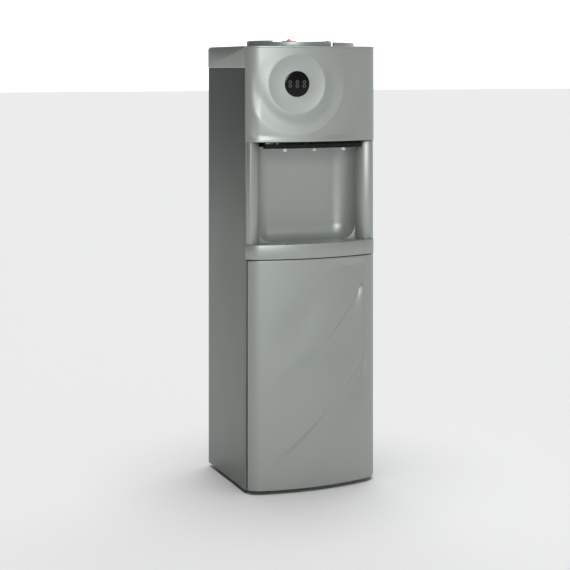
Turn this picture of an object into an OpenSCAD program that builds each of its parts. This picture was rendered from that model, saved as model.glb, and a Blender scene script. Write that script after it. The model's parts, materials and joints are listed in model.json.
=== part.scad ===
// Free-standing water dispenser with a bottle seat on top, three taps in an alcove and a cupboard below.
// The origin is on the floor at the centre of the base. +Z is up, the front faces -Y.

/* [Cabinet] */
// Width over the side panels
body_w = 309; // [300:1:320]
// Depth of the cabinet from the front seam to its back
cabinet_d = 233; // [228:1:245]
// Distance from the back of the cabinet to the rearmost wires of the condenser
rear_reach = 26.5; // [24:0.5:32]
// Height of the feet
foot_h = 8; // [7:0.5:12]
// Radius of a foot
foot_r = 14; // [11:0.5:16]
// Sheet steel of the cabinet
sheet = 1; // [0.8:0.1:1.2]
// Radius of the fold along each side panel's front and rear edge
fold_r = 4; // [3:0.5:4]
// Depth of the base pan's upturned edges
pan_edge_h = 18; // [12:1:24]

/* [Front outline] */
// How far the front bows out ahead of the seam
bow = 40.5; // [38:0.5:44]
// Radius of the front's upright corners
corner_r = 45; // [43:1:47]
// How far the centres of those corners sit behind the seam
corner_set = 19; // [17:0.5:20]
// Wall of the moulded covers
wall = 2.5; // [2:0.1:2.8]
// How far the door and the alcove sit inside the head's outline
front_set = 2.4; // [2:0.1:3]
// Play between pieces that fit into each other
play = 0.3; // [0.25:0.05:0.4]

/* [Front stack] */
// Height of the door
door_h = 494; // [480:1:520]
// Gap above the door
door_gap = 2.8; // [2.8:0.1:4]
// Height of the drip tray
tray_h = 31; // [28:1:36]
// Clear height of the alcove
alcove_h = 206.8; // [190:0.2:230]
// Height of the key bar
bar_h = 14.4; // [14.4:0.2:18]
// Height of the head cover
head_h = 203; // [200:1:215]
// Height of the side caps above the side panels
cap_h = 42; // [30:1:50]
// Thickness of the deck's edge
deck_t = 4; // [3:0.5:6]

/* [Head relief] */
// Control disc, right of centre
disc_x = -47; // [-50:1:-40]
// Control disc, below the top of the head
disc_drop = 78; // [74:1:90]
// Radius of the control disc
disc_r = 28; // [24:1:30]
// Rims of the dish and of the two wider rings
ring_r = [64, 110, 180];
// Depths inside those rims
ring_depth = [3.2, 3, 2.6];

/* [Door] */
// Depth of the pressed lobes
lobe_depth = 6; // [3:0.5:6]
// Hinge axis in from the side of the cabinet
hinge_in = 16.5; // [16.2:0.1:17.2]
// Hinge axis ahead of the door's rear rim
hinge_ahead = 4.2; // [4.2:0.1:5]
// Gap between the door's rear rim and the seam
rim_gap = 3.5; // [3.2:0.1:4]
// Radius of the hinge pins
pin_r = 2.5; // [2:0.1:2.6]
// Running clearance of a pin or a stem
run_fit = 0.05; // [0.03:0.01:0.09]

/* [Cupboard] */
// Width of the frame beside the cupboard's mouth
mouth_set = 36.5; // [35.5:0.5:44]
// Height of the cupboard's floor
cupboard_z = 207; // [200:1:230]
// Inner depth of the cupboard behind the seam
cupboard_d = 167.5; // [150:0.5:170]
// Wall of the cupboard's liner
liner_t = 1.5; // [1.2:0.1:2]

/* [Alcove and tray] */
// Width of the alcove's rounded lips, from the side of the cabinet
lip_w = 37.5; // [36:0.5:38]
// Depth of the alcove behind the seam
alcove_d = 60; // [56:1:64]
// Radius of the alcove's upright coves
cove_r = 40; // [38:1:44]
// Radius of the cove along the alcove's floor
floor_cove_r = 32; // [26:1:34]
// How far the alcove's lips stand ahead of the seam
lip_ahead = 8.5; // [7:0.5:10]
// Radius of the lips' rounding into the alcove
lip_r = 25; // [22:1:26]
// Depth of the drip tray behind the seam
tray_back = 17; // [16:0.5:17]
// Thickness of the drip cover
cover_t = 2.5; // [2:0.1:3]
// Radius of a drip hole
drip_r = 10; // [8:0.5:11]

/* [Taps] */
// Distance between two taps
tap_pitch = 69.5; // [66:0.5:72]
// Spouts, behind the front of the bow
spout_set = 21.5; // [21:0.5:22]
// Outer radius of a spout
spout_r = 4.5; // [4:0.1:4.6]
// How far the spouts reach below the key bar
spout_drop = 6.6; // [4:0.2:10]
// Valve stems, behind the front of the bow
stem_set = 42; // [42:0.5:43]
// Radius of a valve stem
stem_r = 2; // [1.8:0.1:2.2]
// Travel of a push key
key_travel = 3; // [2:0.1:3]
// Half width of a push key
key_half = 22.7; // [20:0.1:24]
// Gap between the key bar's ends and the alcove's sides
bar_gap = 1; // [0.6:0.1:3]
// Outer radius of a valve body
valve_r = 10; // [9.5:0.5:10]

/* [Bottle seat] */
// Centre of the bottle seat, behind the origin
seat_y = 11; // [8:1:14]
// Outer radius of the collar
collar_r = 96; // [92:1:98]
// Height of the collar above the deck
collar_h = 13.8; // [10:0.2:16]
// Depth of the wide dip in the collar's front
dip_h = 3.4; // [2:0.1:5]
// Half angle of that dip
dip_half = 47; // [40:1:60]
// Inner radius of the bottle neck's socket
socket_r = 30; // [29:0.5:32]
// Radius of the probe
probe_r = 8; // [7:0.5:9]
// Radius of the probe's cap
cap_r = 17; // [15:1:19]

/* [Cold and hot water] */
// Radius of the cold tank
cold_r = 65; // [60:1:66]
// Height of the cold tank
cold_h = 118; // [105:1:120]
// Thickness of the cold tank's foam
foam_t = 28; // [26:1:30]
// Radius of the hot tank
hot_r = 48; // [40:1:52]
// Height of the hot tank
hot_h = 145; // [120:1:150]
// Radius of the water hoses
hose_r = 5; // [4.6:0.1:5.4]

/* [Condenser] */
// Runs of the condenser's tube
run_count = 13; // [9:2:13]
// Distance between two runs
run_pitch = 43; // [38:1:44]
// Half length of the straight runs
run_half = 112; // [100:1:116]
// Height of the lowest run
run_z = 250; // [246:1:262]
// Radius of the condenser's tube
tube_r = 2.4; // [2:0.1:2.8]
// Radius of a condenser wire
wire_r = 0.8; // [0.6:0.05:1]
// Wires on each face of the condenser
wire_count = 19; // [11:2:25]

/* [Hidden] */
$fn = 64;
eps = 0.01;
knuckle = 1.05;
knuckle_turn = [37, 21, 0];
half_w = body_w / 2;

// Depths
front_y = -(bow + cabinet_d + rear_reach) / 2;
seam_y = front_y + bow;
back_y = seam_y + cabinet_d;
rear_y = back_y + rear_reach;
rim_y = seam_y - rim_gap;
frame_y = seam_y + 6.3;
frame_d = 15;
frame_back = frame_y + frame_d;
mouth_half = half_w - mouth_set;

// Heights
door_z0 = foot_h;
door_z1 = door_z0 + door_h;
tray_z0 = door_z1 + door_gap;
tray_z1 = tray_z0 + tray_h;
bar_z0 = tray_z1 + alcove_h;
head_z0 = bar_z0 + bar_h;
head_z1 = head_z0 + head_h;
deck_z = head_z1 + deck_t;
cap_z = head_z1 - cap_h;
disc_z = head_z1 - disc_drop;
disc_sink = ring_depth[0] + 0.4;
ring_pitch = 16;
frame_z1 = door_z1 + 0.5;
pan_t = 1.5;
pan_z = foot_h + pan_t;

// Outline of the front: a wide bow that runs into two corner arcs
corner_x = half_w - sqrt(pow(corner_r, 2) - pow(corner_set, 2));
corner_y = seam_y + corner_set;
corner_fall = bow + corner_set;
bow_r = (pow(corner_fall, 2) + pow(corner_x, 2) - pow(corner_r, 2)) / (2 * (corner_fall - corner_r));
bow_y = front_y + bow_r;
tangent_angle = 180 + acos(corner_x / (bow_r - corner_r));

// Steps of the pressed skins along the outline and up their height
corner_steps = 6;
bow_steps = 40;
skin_steps = 2 * corner_steps + bow_steps;

// Lobes of the door: arcs whose centres lie up and to the left, heights from the door's top
lobe_centre = [[-300, 194], [-763, 467]];
lobe_r = [486, 1116];
lobe_valley = 95;
lobe_right = half_w - 38.5;

// Hinge of the door
hinge_x = half_w - hinge_in;
hinge_y = rim_y - hinge_ahead;
bracket_t = 1.8;
pin_l = 13;

// Cupboard, gasket and catch
cupboard_z1 = frame_z1 - 14.5;
flange_w = 6;
gasket_w = 4;
strike_h = 20;
strike_z = door_z1 - strike_h - 12;

// Alcove, tray and key bar
alcove_half = half_w - lip_w;
alcove_back = seam_y + alcove_d;
lip_y = seam_y - lip_ahead;
side_y = lip_y + lip_r;
turn_y = alcove_back - cove_r;
tray_rear = seam_y + tray_back;
cheek_y = tray_rear + play;
tray_half = alcove_half - 0.5;
drip_half = alcove_half - 1;
bar_half = alcove_half - bar_gap;
spout_y = front_y + spout_set;
stem_y = front_y + stem_set;
tap_x = [-tap_pitch, 0, tap_pitch];
bar_set = 5;
bar_wall = 3;
key_t = 2;
bar_rear = cheek_y - play;
plate_t = 3;
plate_z = head_z0 + plate_t;
plate_rear = seam_y + 49.5;

// Valves
ramp_z = head_z0 - 6;
stem_head_r = 6;
stem_head_z = plate_z + 8;
valve_h = 32;
spring_coil_r = 4.4;
spring_wire = 0.6;
spring_turns = 6;
inlet_z = plate_z + 22;
inlet_y = stem_y + valve_r + 8;
inlet_rise = 7;

// Shelves and tanks
shelf_t = 2.5;
shelf_z = plate_z + 0.2;
foam_z = shelf_z + shelf_t;
cold_z = foam_z + foam_t;
foam_r = cold_r + foam_t;
foam_top = head_z1 - 40;
hot_y = 40;
jacket_t = 10;
hot_z = shelf_z - 26 - hot_h;
rise_x = -foam_r - 19;
rise_y = alcove_back + wall + 9;
boiler_shelf_z = hot_z - jacket_t - shelf_t;

// Bottle seat
seat_t = 3;
collar_z = deck_z + collar_h;
socket_z = deck_z - 39;
socket_floor = socket_z - 28;
probe_top = collar_z - 5;
rim_arc_r = half_w - 7.5;
rim_arc_w = 7;
rim_arc_h = 8.7;
rim_arc_from = -70;
rim_arc_to = 20;
deck_fall_r = 32;
deck_fall_run = 16.5;

// Condenser
run_top = run_z + (run_count - 1) * run_pitch;
run_y = rear_y - tube_r - 2 * wire_r - 0.05;
wire_pitch = 2 * run_half / (wire_count + 1);
cover_y = back_y + 1.2;

// Back cover fittings
switch_x = half_w - 62.5;
switch_z = head_z1 - 84;
switch_gap = 20;
switch_tilt = 8;
drain_x = 76.5 - half_w;
drain_z = 205;
gland_x = half_w - 49.5;
gland_z = 80;
gland_r = 3.75;

// Compressor
comp_y = 42;
comp_r = 60;
comp_z = pan_z + 14;
comp_h = 148;
dryer_y = back_y - 40;
dryer_z = pan_z + 0.2;
dryer_h = 140;

// Colours as the photo shows them
silver = [0.70, 0.72, 0.69];
steel = [0.45, 0.47, 0.44];
black = [0.05, 0.05, 0.06];
white = [0.90, 0.90, 0.88];
red = [0.78, 0.08, 0.12];
copper = [0.72, 0.42, 0.25];
zinc = [0.62, 0.63, 0.64];

// Helpers: a smooth step, a mix, a box between two corners and a round pipe along points
function clamp01(t) = max(0, min(1, t));
function smooth(t) = let (c = clamp01(t)) c * c * (3 - 2 * c);
function mix(a, b, t) = a + (b - a) * t;

module box(low, high) {
    translate(low) cube(high - low);
}

module segment(a, b, r) {
    d = b - a;
    len = norm(d);
    translate(a) rotate([0, acos(d[2] / len), atan2(d[1], d[0])]) cylinder(h = len, r = r);
}

module pipe(points, r) {
    for (i = [0:len(points) - 2]) segment(points[i], points[i + 1], r);
    for (i = [1:1:len(points) - 2]) translate(points[i]) rotate(knuckle_turn) sphere(r = r * knuckle);
}

// Area inside the front outline, a distance inside it, from the front to depth y1
module front_area(inset, y1) {
    reach = 2 * body_w;
    intersection() {
        translate([-reach / 2, front_y - 1]) square([reach, y1 - front_y + 1]);
        union() {
            half_bow = corner_x * (bow_r - inset) / (bow_r - corner_r);
            intersection() {
                translate([0, bow_y]) circle(r = bow_r - inset, $fn = 480);
                translate([-half_bow, front_y - 1]) square([2 * half_bow, cabinet_d]);
            }
            for (side = [-1, 1]) translate([side * corner_x, corner_y]) circle(r = corner_r - inset, $fn = 128);
        }
    }
}

module front_slab(inset, y1, z0, z1) {
    translate([0, 0, z0]) linear_extrude(z1 - z0) front_area(inset, y1);
}

// Point i of the outline, a distance inside it; the corner arcs start at depth y1
function corner_start(inset, y1) = 180 + asin((corner_y - y1) / (corner_r - inset));
function outline_point(i, inset, y1) =
    i > skin_steps / 2 ? mirror_x(outline_point(skin_steps - i, inset, y1))
    : i < corner_steps
        ? let (a = mix(corner_start(inset, y1), tangent_angle, i / corner_steps))
            [-corner_x, corner_y] + (corner_r - inset) * [cos(a), sin(a)]
        : let (a = mix(tangent_angle, 270, (i - corner_steps) / (bow_steps / 2)))
            [0, bow_y] + (bow_r - inset) * [cos(a), sin(a)];
function mirror_x(p) = [-p[0], p[1]];

// Depth pressed into the head at a place: a drop inside each rim and a gentle rise towards the next
function ring_wave(u) = (1 - u * u) * smooth(u / 0.6);
function head_relief(x, z) =
    let (r = norm([x - disc_x, z - disc_z]),
         low = smooth((disc_z + 55 - z) / 90),
         ends = smooth((half_w - 4 - abs(x)) / 14),
         edges = smooth((z - head_z0 - 3) / 12) * smooth((head_z1 - 3 - z) / 10))
    ends * edges * (r < ring_r[0]
        ? ring_depth[0] * (1 - pow(max(r - disc_r, 0) / (ring_r[0] - disc_r), 2))
        : r < ring_r[1]
            ? low * ring_depth[1] * ring_wave((r - ring_r[0]) / (ring_r[1] - ring_r[0]))
            : r < ring_r[2]
                ? low * ring_depth[2] * ring_wave((r - ring_r[1]) / (ring_r[2] - ring_r[1]))
                : 0);

// Depth pressed into the door at a place: two lobes that rise to a crest and drop past it
function past_crest(k, x, z) = norm([x - lobe_centre[k][0], z - door_z1 - lobe_centre[k][1]]) - lobe_r[k];
function door_relief(x, z) =
    let (q1 = past_crest(0, x, z),
         q2 = max(past_crest(1, x, z), x - lobe_right),
         edge = smooth((door_z1 - 5 - z) / 14) * smooth((z - door_z0 - 6) / 30),
         side = smooth((x + half_w - 39.5) / 100) * smooth((half_w - 22.5 - x) / 14),
         upper = q1 < 0 ? valley(-q1 / lobe_valley) : 0,
         between = q1 >= 0 && q2 < 0 ? drop(q1 / (q1 - q2)) : 0,
         below = q1 >= 0 && q2 >= 0 ? 0.7 * drop(q2 / 70) : 0)
    lobe_depth * edge * side * max(upper, between, below);
function valley(t) = t < 0.8 ? smooth(t / 0.8) : 1 - smooth((t - 0.8) / 0.45);
function drop(t) = smooth(t / 0.16) * (1 - smooth((t - 0.16) / 0.84));
// Triangles between a fine row of points and one with half as many steps
function rim(fine, coarse) = [for (k = [0:len(coarse) - 2])
    let (a = fine[2 * k], b = fine[2 * k + 1], c = fine[2 * k + 2], d = coarse[k], e = coarse[k + 1])
    each [[a, b, d], [b, e, d], [b, c, e]]];
function relief_at(kind, x, z) = kind == "head" ? head_relief(x, z) : door_relief(x, z);

// A pressed cover of even thickness: a fine outer face, a coarser inner face and flat rims
module pressed_skin(kind, inset, y1, z0, z1, rows) {
    half_steps = skin_steps / 2;
    outer = [for (j = [0:rows]) for (i = [0:skin_steps])
        let (z = mix(z0, z1, j / rows), base = outline_point(i, inset, y1),
             p = outline_point(i, inset + relief_at(kind, base[0], z), y1)) [p[0], p[1], z]];
    inner = [for (j = [0:rows / 2]) for (i = [0:half_steps])
        let (z = mix(z0, z1, 2 * j / rows), base = outline_point(2 * i, inset, y1),
             p = outline_point(2 * i, inset + wall + relief_at(kind, base[0], z), y1)) [p[0], p[1], z]];
    n_out = skin_steps + 1;
    n_in = half_steps + 1;
    first_in = len(outer);
    last_row = rows / 2;
    outer_faces = [for (j = [0:rows - 1]) for (i = [0:skin_steps - 1])
        let (a = j * n_out + i, b = a + 1, c = a + n_out + 1, d = a + n_out)
        each [[a, d, c], [a, c, b]]];
    inner_faces = [for (j = [0:last_row - 1]) for (i = [0:half_steps - 1])
        let (a = first_in + j * n_in + i, b = a + 1, c = a + n_in + 1, d = a + n_in)
        each [[a, c, d], [a, b, c]]];
    floor_rim = rim([for (i = [0:skin_steps]) i], [for (i = [0:half_steps]) first_in + i]);
    roof_rim = rim([for (i = [skin_steps:-1:0]) rows * n_out + i],
        [for (i = [half_steps:-1:0]) first_in + last_row * n_in + i]);
    left_rim = rim([for (j = [rows:-1:0]) j * n_out], [for (j = [last_row:-1:0]) first_in + j * n_in]);
    right_rim = rim([for (j = [0:rows]) j * n_out + skin_steps],
        [for (j = [0:last_row]) first_in + j * n_in + half_steps]);
    polyhedron(points = concat(outer, inner),
        faces = concat(outer_faces, inner_faces, floor_rim, roof_rim, left_rim, right_rim), convexity = 8);
}

// Base and cabinet
module feet() {
    color(black) for (x = [-1, 1]) for (y = [seam_y + 25, back_y - 28])
        translate([x * (half_w - 34), y, 0]) cylinder(h = foot_h, r = foot_r);
}

module base_pan() {
    inner = half_w - sheet - play;
    color(zinc) difference() {
        box([-inner, frame_y, foot_h], [inner, back_y - sheet - play, foot_h + pan_edge_h]);
        box([-inner + pan_t, frame_y - 1, pan_z],
            [inner - pan_t, back_y - sheet - play - pan_t, foot_h + pan_edge_h + 1]);
        for (side = [-1, 1]) mirror([side < 0 ? 1 : 0, 0, 0])
            box([half_w - fold_r - play, back_y - fold_r - play, foot_h - 1],
                [half_w, back_y, foot_h + pan_edge_h + 1]);
    }
}

module side_panel() {
    z1 = cap_z - play;
    color(steel) translate([0, 0, foot_h]) linear_extrude(z1 - foot_h) {
        translate([half_w - sheet, seam_y + fold_r]) square([sheet, cabinet_d - 2 * fold_r]);
        for (end = [0, 1]) translate([half_w - fold_r, mix(seam_y + fold_r, back_y - fold_r, end)])
            intersection() {
                difference() {
                    circle(r = fold_r);
                    circle(r = fold_r - sheet);
                }
                translate([0, end == 0 ? -fold_r : 0]) square(fold_r);
            }
    }
}

module right_side_panel() {
    side_panel();
}

module left_side_panel() {
    mirror([1, 0, 0]) side_panel();
}

// Screw places down both edges of the back cover
function screw_places() = [for (x = [-1, 1]) for (i = [0:4])
    [x * (half_w - fold_r - 9), mix(foot_h + 52, cap_z - 30, i / 4)]];

module back_cover() {
    half = half_w - fold_r - 1;
    color(black) difference() {
        union() {
            box([-half, back_y - 0.8, pan_z + 2], [half, cover_y, cap_z - play]);
            for (side = [-1, 1]) box([side * half - pan_t / 2, back_y - 12, pan_z + pan_edge_h + 2],
                [side * half + pan_t / 2, back_y - 0.4, cap_z - play]);
        }
        for (row = [0:7]) box([-55, back_y - 2, 50 + 16 * row], [55, cover_y + 1, 56 + 16 * row]);
        for (row = [0:4])
            box([34.5 - half_w, back_y - 2, switch_z - 26 + 13 * row], [-30, cover_y + 1, switch_z - 21 + 13 * row]);
        box([switch_x - 21, back_y - 2, switch_z - 16], [switch_x + 21, cover_y + 1, switch_z + 16]);
        translate([drain_x, back_y, drain_z]) rotate([90, 0, 0]) cylinder(h = 6, r = 8 + play, center = true);
        translate([gland_x, back_y, gland_z]) rotate([90, 0, 0]) cylinder(h = 6, r = 8 + play, center = true);
        for (z = [run_z, run_top]) translate([run_port_x(z), back_y, z]) rotate([90, 0, 0])
            cylinder(h = 6, r = tube_r + 1.5, center = true);
    }
}

module cover_screws() {
    color(zinc) for (p = screw_places()) translate([p[0], cover_y, p[1]]) rotate([-90, 0, 0]) difference() {
        cylinder(h = 2, r = 3.5);
        translate([0, 0, 1]) cube([4.4, 1, 2.2], center = true);
        translate([0, 0, 1]) cube([1, 4.4, 2.2], center = true);
    }
}

// Front frame: a moulded plate with ribs behind it, open at the cupboard's mouth
module front_frame() {
    outer = half_w - sheet - play;
    mouth = mouth_half + liner_t + 0.5;
    mouth_z0 = cupboard_z - liner_t - 0.5;
    mouth_z1 = cupboard_z1 + liner_t + 0.5;
    color(black) difference() {
        union() {
            box([-outer + pan_t + 0.2, frame_y, pan_z], [outer - pan_t - 0.2, frame_back, frame_z1]);
            for (side = [-1, 1])
                box([side * 90 - 8, frame_y, frame_z1 - 1], [side * 90 + 8, frame_back, tray_z0 - 0.1]);
        }
        box([-mouth, frame_y - 1, mouth_z0], [mouth, frame_back + 1, mouth_z1]);
        for (side = [-1, 1]) mirror([side < 0 ? 1 : 0, 0, 0])
            box([mouth + wall, frame_y + wall, pan_z + wall],
                [outer - pan_t - 0.2 - wall, frame_back + 1, frame_z1 - wall]);
        box([-mouth, frame_y + wall, pan_z + wall], [mouth, frame_back + 1, mouth_z0 - wall]);
    }
}

module cupboard_liner() {
    y1 = seam_y + cupboard_d;
    color(white) difference() {
        union() {
            box([-mouth_half - liner_t, seam_y, cupboard_z - liner_t],
                [mouth_half + liner_t, y1 + liner_t, cupboard_z1 + liner_t]);
            box([-mouth_half - flange_w, seam_y, cupboard_z - flange_w],
                [mouth_half + flange_w, seam_y + liner_t, cupboard_z1 + flange_w]);
        }
        box([-mouth_half, seam_y - 1, cupboard_z], [mouth_half, y1, cupboard_z1]);
    }
}

module hinge_brackets() {
    w = 6.5;
    color(zinc) {
        box([hinge_x - w, hinge_y - 5, door_z1 + 0.5],
            [hinge_x + w, frame_back - 2, door_z1 + 0.5 + bracket_t]);
        translate([hinge_x, hinge_y, door_z1 + 1 - pin_l]) cylinder(h = pin_l, r = pin_r);
        box([hinge_x - w, hinge_y - 5, door_z0 - 0.5 - bracket_t], [hinge_x + w, frame_y + 6, door_z0 - 0.5]);
        box([hinge_x - w, frame_y + 1, door_z0 - 0.6], [hinge_x + w, frame_y + 6, foot_h]);
        translate([hinge_x, hinge_y, door_z0 - 1]) cylinder(h = pin_l, r = pin_r);
    }
}

module strike_plate() {
    x = -mouth_half - flange_w - 3;
    color(zinc) box([x - 8, seam_y - play, strike_z], [x, frame_y, strike_z + strike_h]);
}

// Door
module door_panel() {
    color(silver) pressed_skin("door", front_set, rim_y, door_z0, door_z1, 46);
}

module door_liner() {
    cap_t = 3;
    inset = front_set + wall + 1;
    z0 = door_z0 + play;
    z1 = door_z1 - play;
    color(white) difference() {
        union() {
            intersection() {
                front_slab(inset, rim_y, z0, z1);
                box([-half_w, rim_y - 2, z0], [half_w, rim_y, z1]);
            }
            for (z = [z0, z1 - cap_t]) front_slab(inset, rim_y, z, z + cap_t);
            intersection() {
                front_slab(inset, rim_y, z0, z1);
                union() for (z = [z0, z1 - pin_l - 1])
                    box([hinge_x - 6, hinge_y - 6, z], [hinge_x + 12, rim_y, z + pin_l + 1]);
            }
        }
        for (z = [z0 - 1, z1 - pin_l])
            translate([hinge_x, hinge_y, z]) cylinder(h = pin_l + 1, r = pin_r + run_fit);
    }
}

module door_gasket() {
    inner = mouth_half + 1;
    low = cupboard_z - 1;
    high = cupboard_z1 + 1;
    color(black) difference() {
        box([-inner - gasket_w, rim_y, low - gasket_w], [inner + gasket_w, seam_y - play, high + gasket_w]);
        box([-inner, rim_y - 1, low], [inner, seam_y + 1, high]);
    }
}

module door_magnet() {
    x = -mouth_half - flange_w - 4;
    color(black) box([x - 6, rim_y, strike_z + 1], [x, seam_y - 2 * play, strike_z + strike_h - 1]);
}

// Drip tray: a bowed basin with a tail that runs between the alcove's walls
module tray_area(inset) {
    front_area(inset, seam_y - inset);
    translate([-tray_half + inset, seam_y - inset - 1]) square([2 * (tray_half - inset), tray_back + 1]);
}

// The part of that area that lies between the alcove's lips
module tray_middle(inset, half) {
    intersection() {
        tray_area(inset);
        translate([-half, front_y - 1]) square([2 * half, cabinet_d]);
    }
}

module drip_tray() {
    basin_half = drip_half - 3;
    color(silver) difference() {
        translate([0, 0, tray_z0]) linear_extrude(tray_h) tray_area(0);
        translate([0, 0, tray_z0 + wall]) linear_extrude(tray_h) tray_middle(wall + 1, basin_half);
        translate([0, 0, tray_z1 - cover_t]) linear_extrude(tray_h) tray_middle(wall - 1, drip_half);
        translate([0, 0, tray_z0 - 1]) linear_extrude(tray_h - wall + 1) difference() {
            tray_area(wall);
            translate([-basin_half - wall, front_y - 1]) square([2 * (basin_half + wall), cabinet_d]);
        }
    }
}

module drip_cover() {
    color(silver) difference() {
        translate([0, 0, tray_z1 - cover_t]) linear_extrude(cover_t)
            tray_middle(wall - 1 + play, drip_half - play);
        for (x = tap_x) translate([x, spout_y, tray_z1 - cover_t - 1]) cylinder(h = cover_t + 2, r = drip_r);
    }
}

// Alcove: the hollow grows by a distance to give the shell its back faces. Its sides and its floor run into
// the back wall through coves, which stop at a plane near the mouth; from there the sides are straight
module alcove_hollow(grow) {
    half = alcove_half + grow;
    y1 = alcove_back + grow;
    r = cove_r + grow;
    fr = floor_cove_r + grow;
    z0 = tray_z1 - grow;
    z1 = bar_z0 + grow;
    y0 = lip_y - 5;
    translate([0, 0, z0 + fr]) linear_extrude(z1 - z0 - fr) {
        translate([-half, y0]) square([2 * half, turn_y - y0]);
        translate([-half + r, y0]) square([2 * (half - r), y1 - y0]);
        for (side = [-1, 1]) translate([side * (half - r), turn_y]) circle(r = r, $fn = 96);
    }
    for (side = [-1, 1]) {
        translate([side * (half - r), turn_y, z0 + fr]) rotate_extrude($fn = 96) union() {
            intersection() {
                translate([r - fr, 0]) circle(r = fr, $fn = 96);
                translate([r - fr, -fr]) square(fr);
            }
            translate([0, -fr]) square([r - fr + eps, fr]);
        }
        translate([side * (half - fr), y0, z0 + fr]) rotate([-90, 0, 0]) cylinder(h = turn_y - y0, r = fr, $fn = 96);
    }
    translate([-half + r, y1 - fr, z0 + fr]) rotate([0, 90, 0]) cylinder(h = 2 * (half - r), r = fr, $fn = 96);
    box([-half + r, y0, z0], [half - r, y1 - fr, z0 + fr]);
    box([-half + fr, y0, z0], [half - fr, turn_y, z0 + fr]);
}

// Lips: from the outline across a narrow flat face and round a wide curve into the alcove
module lip_area(inset) {
    flat_x = alcove_half + lip_r;
    for (side = [-1, 1]) mirror([side < 0 ? 1 : 0, 0, 0]) {
        intersection() {
            front_area(front_set + inset, seam_y + inset);
            translate([flat_x, lip_y + inset]) square([half_w, lip_ahead]);
        }
        intersection() {
            translate([flat_x, side_y]) circle(r = lip_r - inset, $fn = 96);
            translate([flat_x - lip_r - 1, lip_y - 1]) square([lip_r + 1, lip_r + 1 + inset]);
        }
    }
}

module alcove_panel() {
    color(silver) {
        difference() {
            union() {
                intersection() {
                    alcove_hollow(wall);
                    box([-half_w, cheek_y, tray_z0], [half_w, back_y, head_z0]);
                }
                for (side = [-1, 1]) mirror([side < 0 ? 1 : 0, 0, 0]) {
                    box([alcove_half, side_y, frame_z1], [alcove_half + wall, turn_y, head_z0]);
                    box([alcove_half - floor_cove_r - 3, cheek_y, tray_z1 - wall],
                        [alcove_half + wall, turn_y - 1, tray_z1 + floor_cove_r]);
                }
            }
            alcove_hollow(0);
        }
        for (side = [-1, 1]) mirror([side < 0 ? 1 : 0, 0, 0])
            box([alcove_half, seam_y + play, frame_z1], [alcove_half + wall, side_y, tray_z1 - play]);
        translate([0, 0, tray_z1 + play]) linear_extrude(head_z0 - tray_z1 - play) difference() {
            lip_area(0);
            lip_area(wall);
        }
    }
}

// Key bar: a curved housing with three windows, open at the top
module key_bar() {
    floor_t = 2;
    color(black) difference() {
        union() {
            intersection() {
                front_slab(bar_set, lip_y - play, bar_z0, head_z0);
                box([-bar_half, front_y, bar_z0], [bar_half, bar_rear, head_z0]);
            }
            box([-bar_half, lip_y - play - eps, bar_z0 + wall + play], [bar_half, bar_rear, head_z0]);
        }
        intersection() {
            front_slab(bar_set + bar_wall, bar_rear + 5, bar_z0 + floor_t, head_z0 + 1);
            box([-bar_half + bar_wall, front_y, bar_z0 + floor_t],
                [bar_half - bar_wall, lip_y - play - 2, head_z0 + 1]);
        }
        box([-bar_half + bar_wall, lip_y - 4, bar_z0 + wall + play + floor_t],
            [bar_half - bar_wall, bar_rear - bar_wall, head_z0 + 1]);
        for (x = tap_x) {
            box([x - key_half - play, front_y, bar_z0 + floor_t + play],
                [x + key_half + play, lip_y - 6, head_z0 - 1.6]);
            translate([x, spout_y, bar_z0 - 1]) cylinder(h = bar_h, r = spout_r + 1);
        }
    }
}

module bow_cylinder(inset, z0, z1) {
    translate([0, bow_y, z0]) cylinder(h = z1 - z0, r = bow_r - inset);
}

module push_key(x) {
    z0 = bar_z0 + 2 + 2 * play;
    z1 = head_z0 - 1.6 - play;
    leg_z = bar_z0 + wall + play + 2 + play;
    leg_in = spout_r + 2;
    ramp_half = leg_in + 2.5;
    color(black) {
        intersection() {
            difference() {
                bow_cylinder(bar_set, z0, z1);
                bow_cylinder(bar_set + key_t, z0 - 1, z1 + 1);
            }
            box([x - key_half, front_y - 1, z0], [x + key_half, lip_y - 4, z1]);
        }
        for (side = [-1, 1]) intersection() {
            bow_cylinder(bar_set + key_t / 2, leg_z, leg_z + 4);
            box([x + side * (leg_in + 1.25) - 1.25, front_y - 1, leg_z],
                [x + side * (leg_in + 1.25) + 1.25, stem_y - 3, leg_z + 4]);
        }
        translate([x - ramp_half, 0, 0]) rotate([90, 0, 90]) linear_extrude(2 * ramp_half)
            polygon([[stem_y - 5, leg_z], [stem_y + ramp_z - leg_z, leg_z],
                [stem_y - 4, ramp_z + 4], [stem_y - 5, ramp_z + 4]]);
    }
}

module key_hot() { push_key(tap_x[0]); }
module key_room() { push_key(tap_x[1]); }
module key_cold() { push_key(tap_x[2]); }

// Valve stem: a slanted foot on the key's ramp, a rod through the plate and a head under the spring
module valve_stem(x) {
    gap = 0.35;
    color(white) difference() {
        union() {
            translate([x, stem_y, ramp_z - 4]) cylinder(h = stem_head_z - ramp_z + 4, r = stem_r);
            translate([x, stem_y, stem_head_z]) cylinder(h = 2, r = stem_head_r);
        }
        translate([x, stem_y, ramp_z + gap * sqrt(2)]) rotate([-45, 0, 0])
            translate([-9, -9, -18]) cube([18, 18, 18]);
    }
}

module stem_hot() { valve_stem(tap_x[0]); }
module stem_room() { valve_stem(tap_x[1]); }
module stem_cold() { valve_stem(tap_x[2]); }

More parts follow.
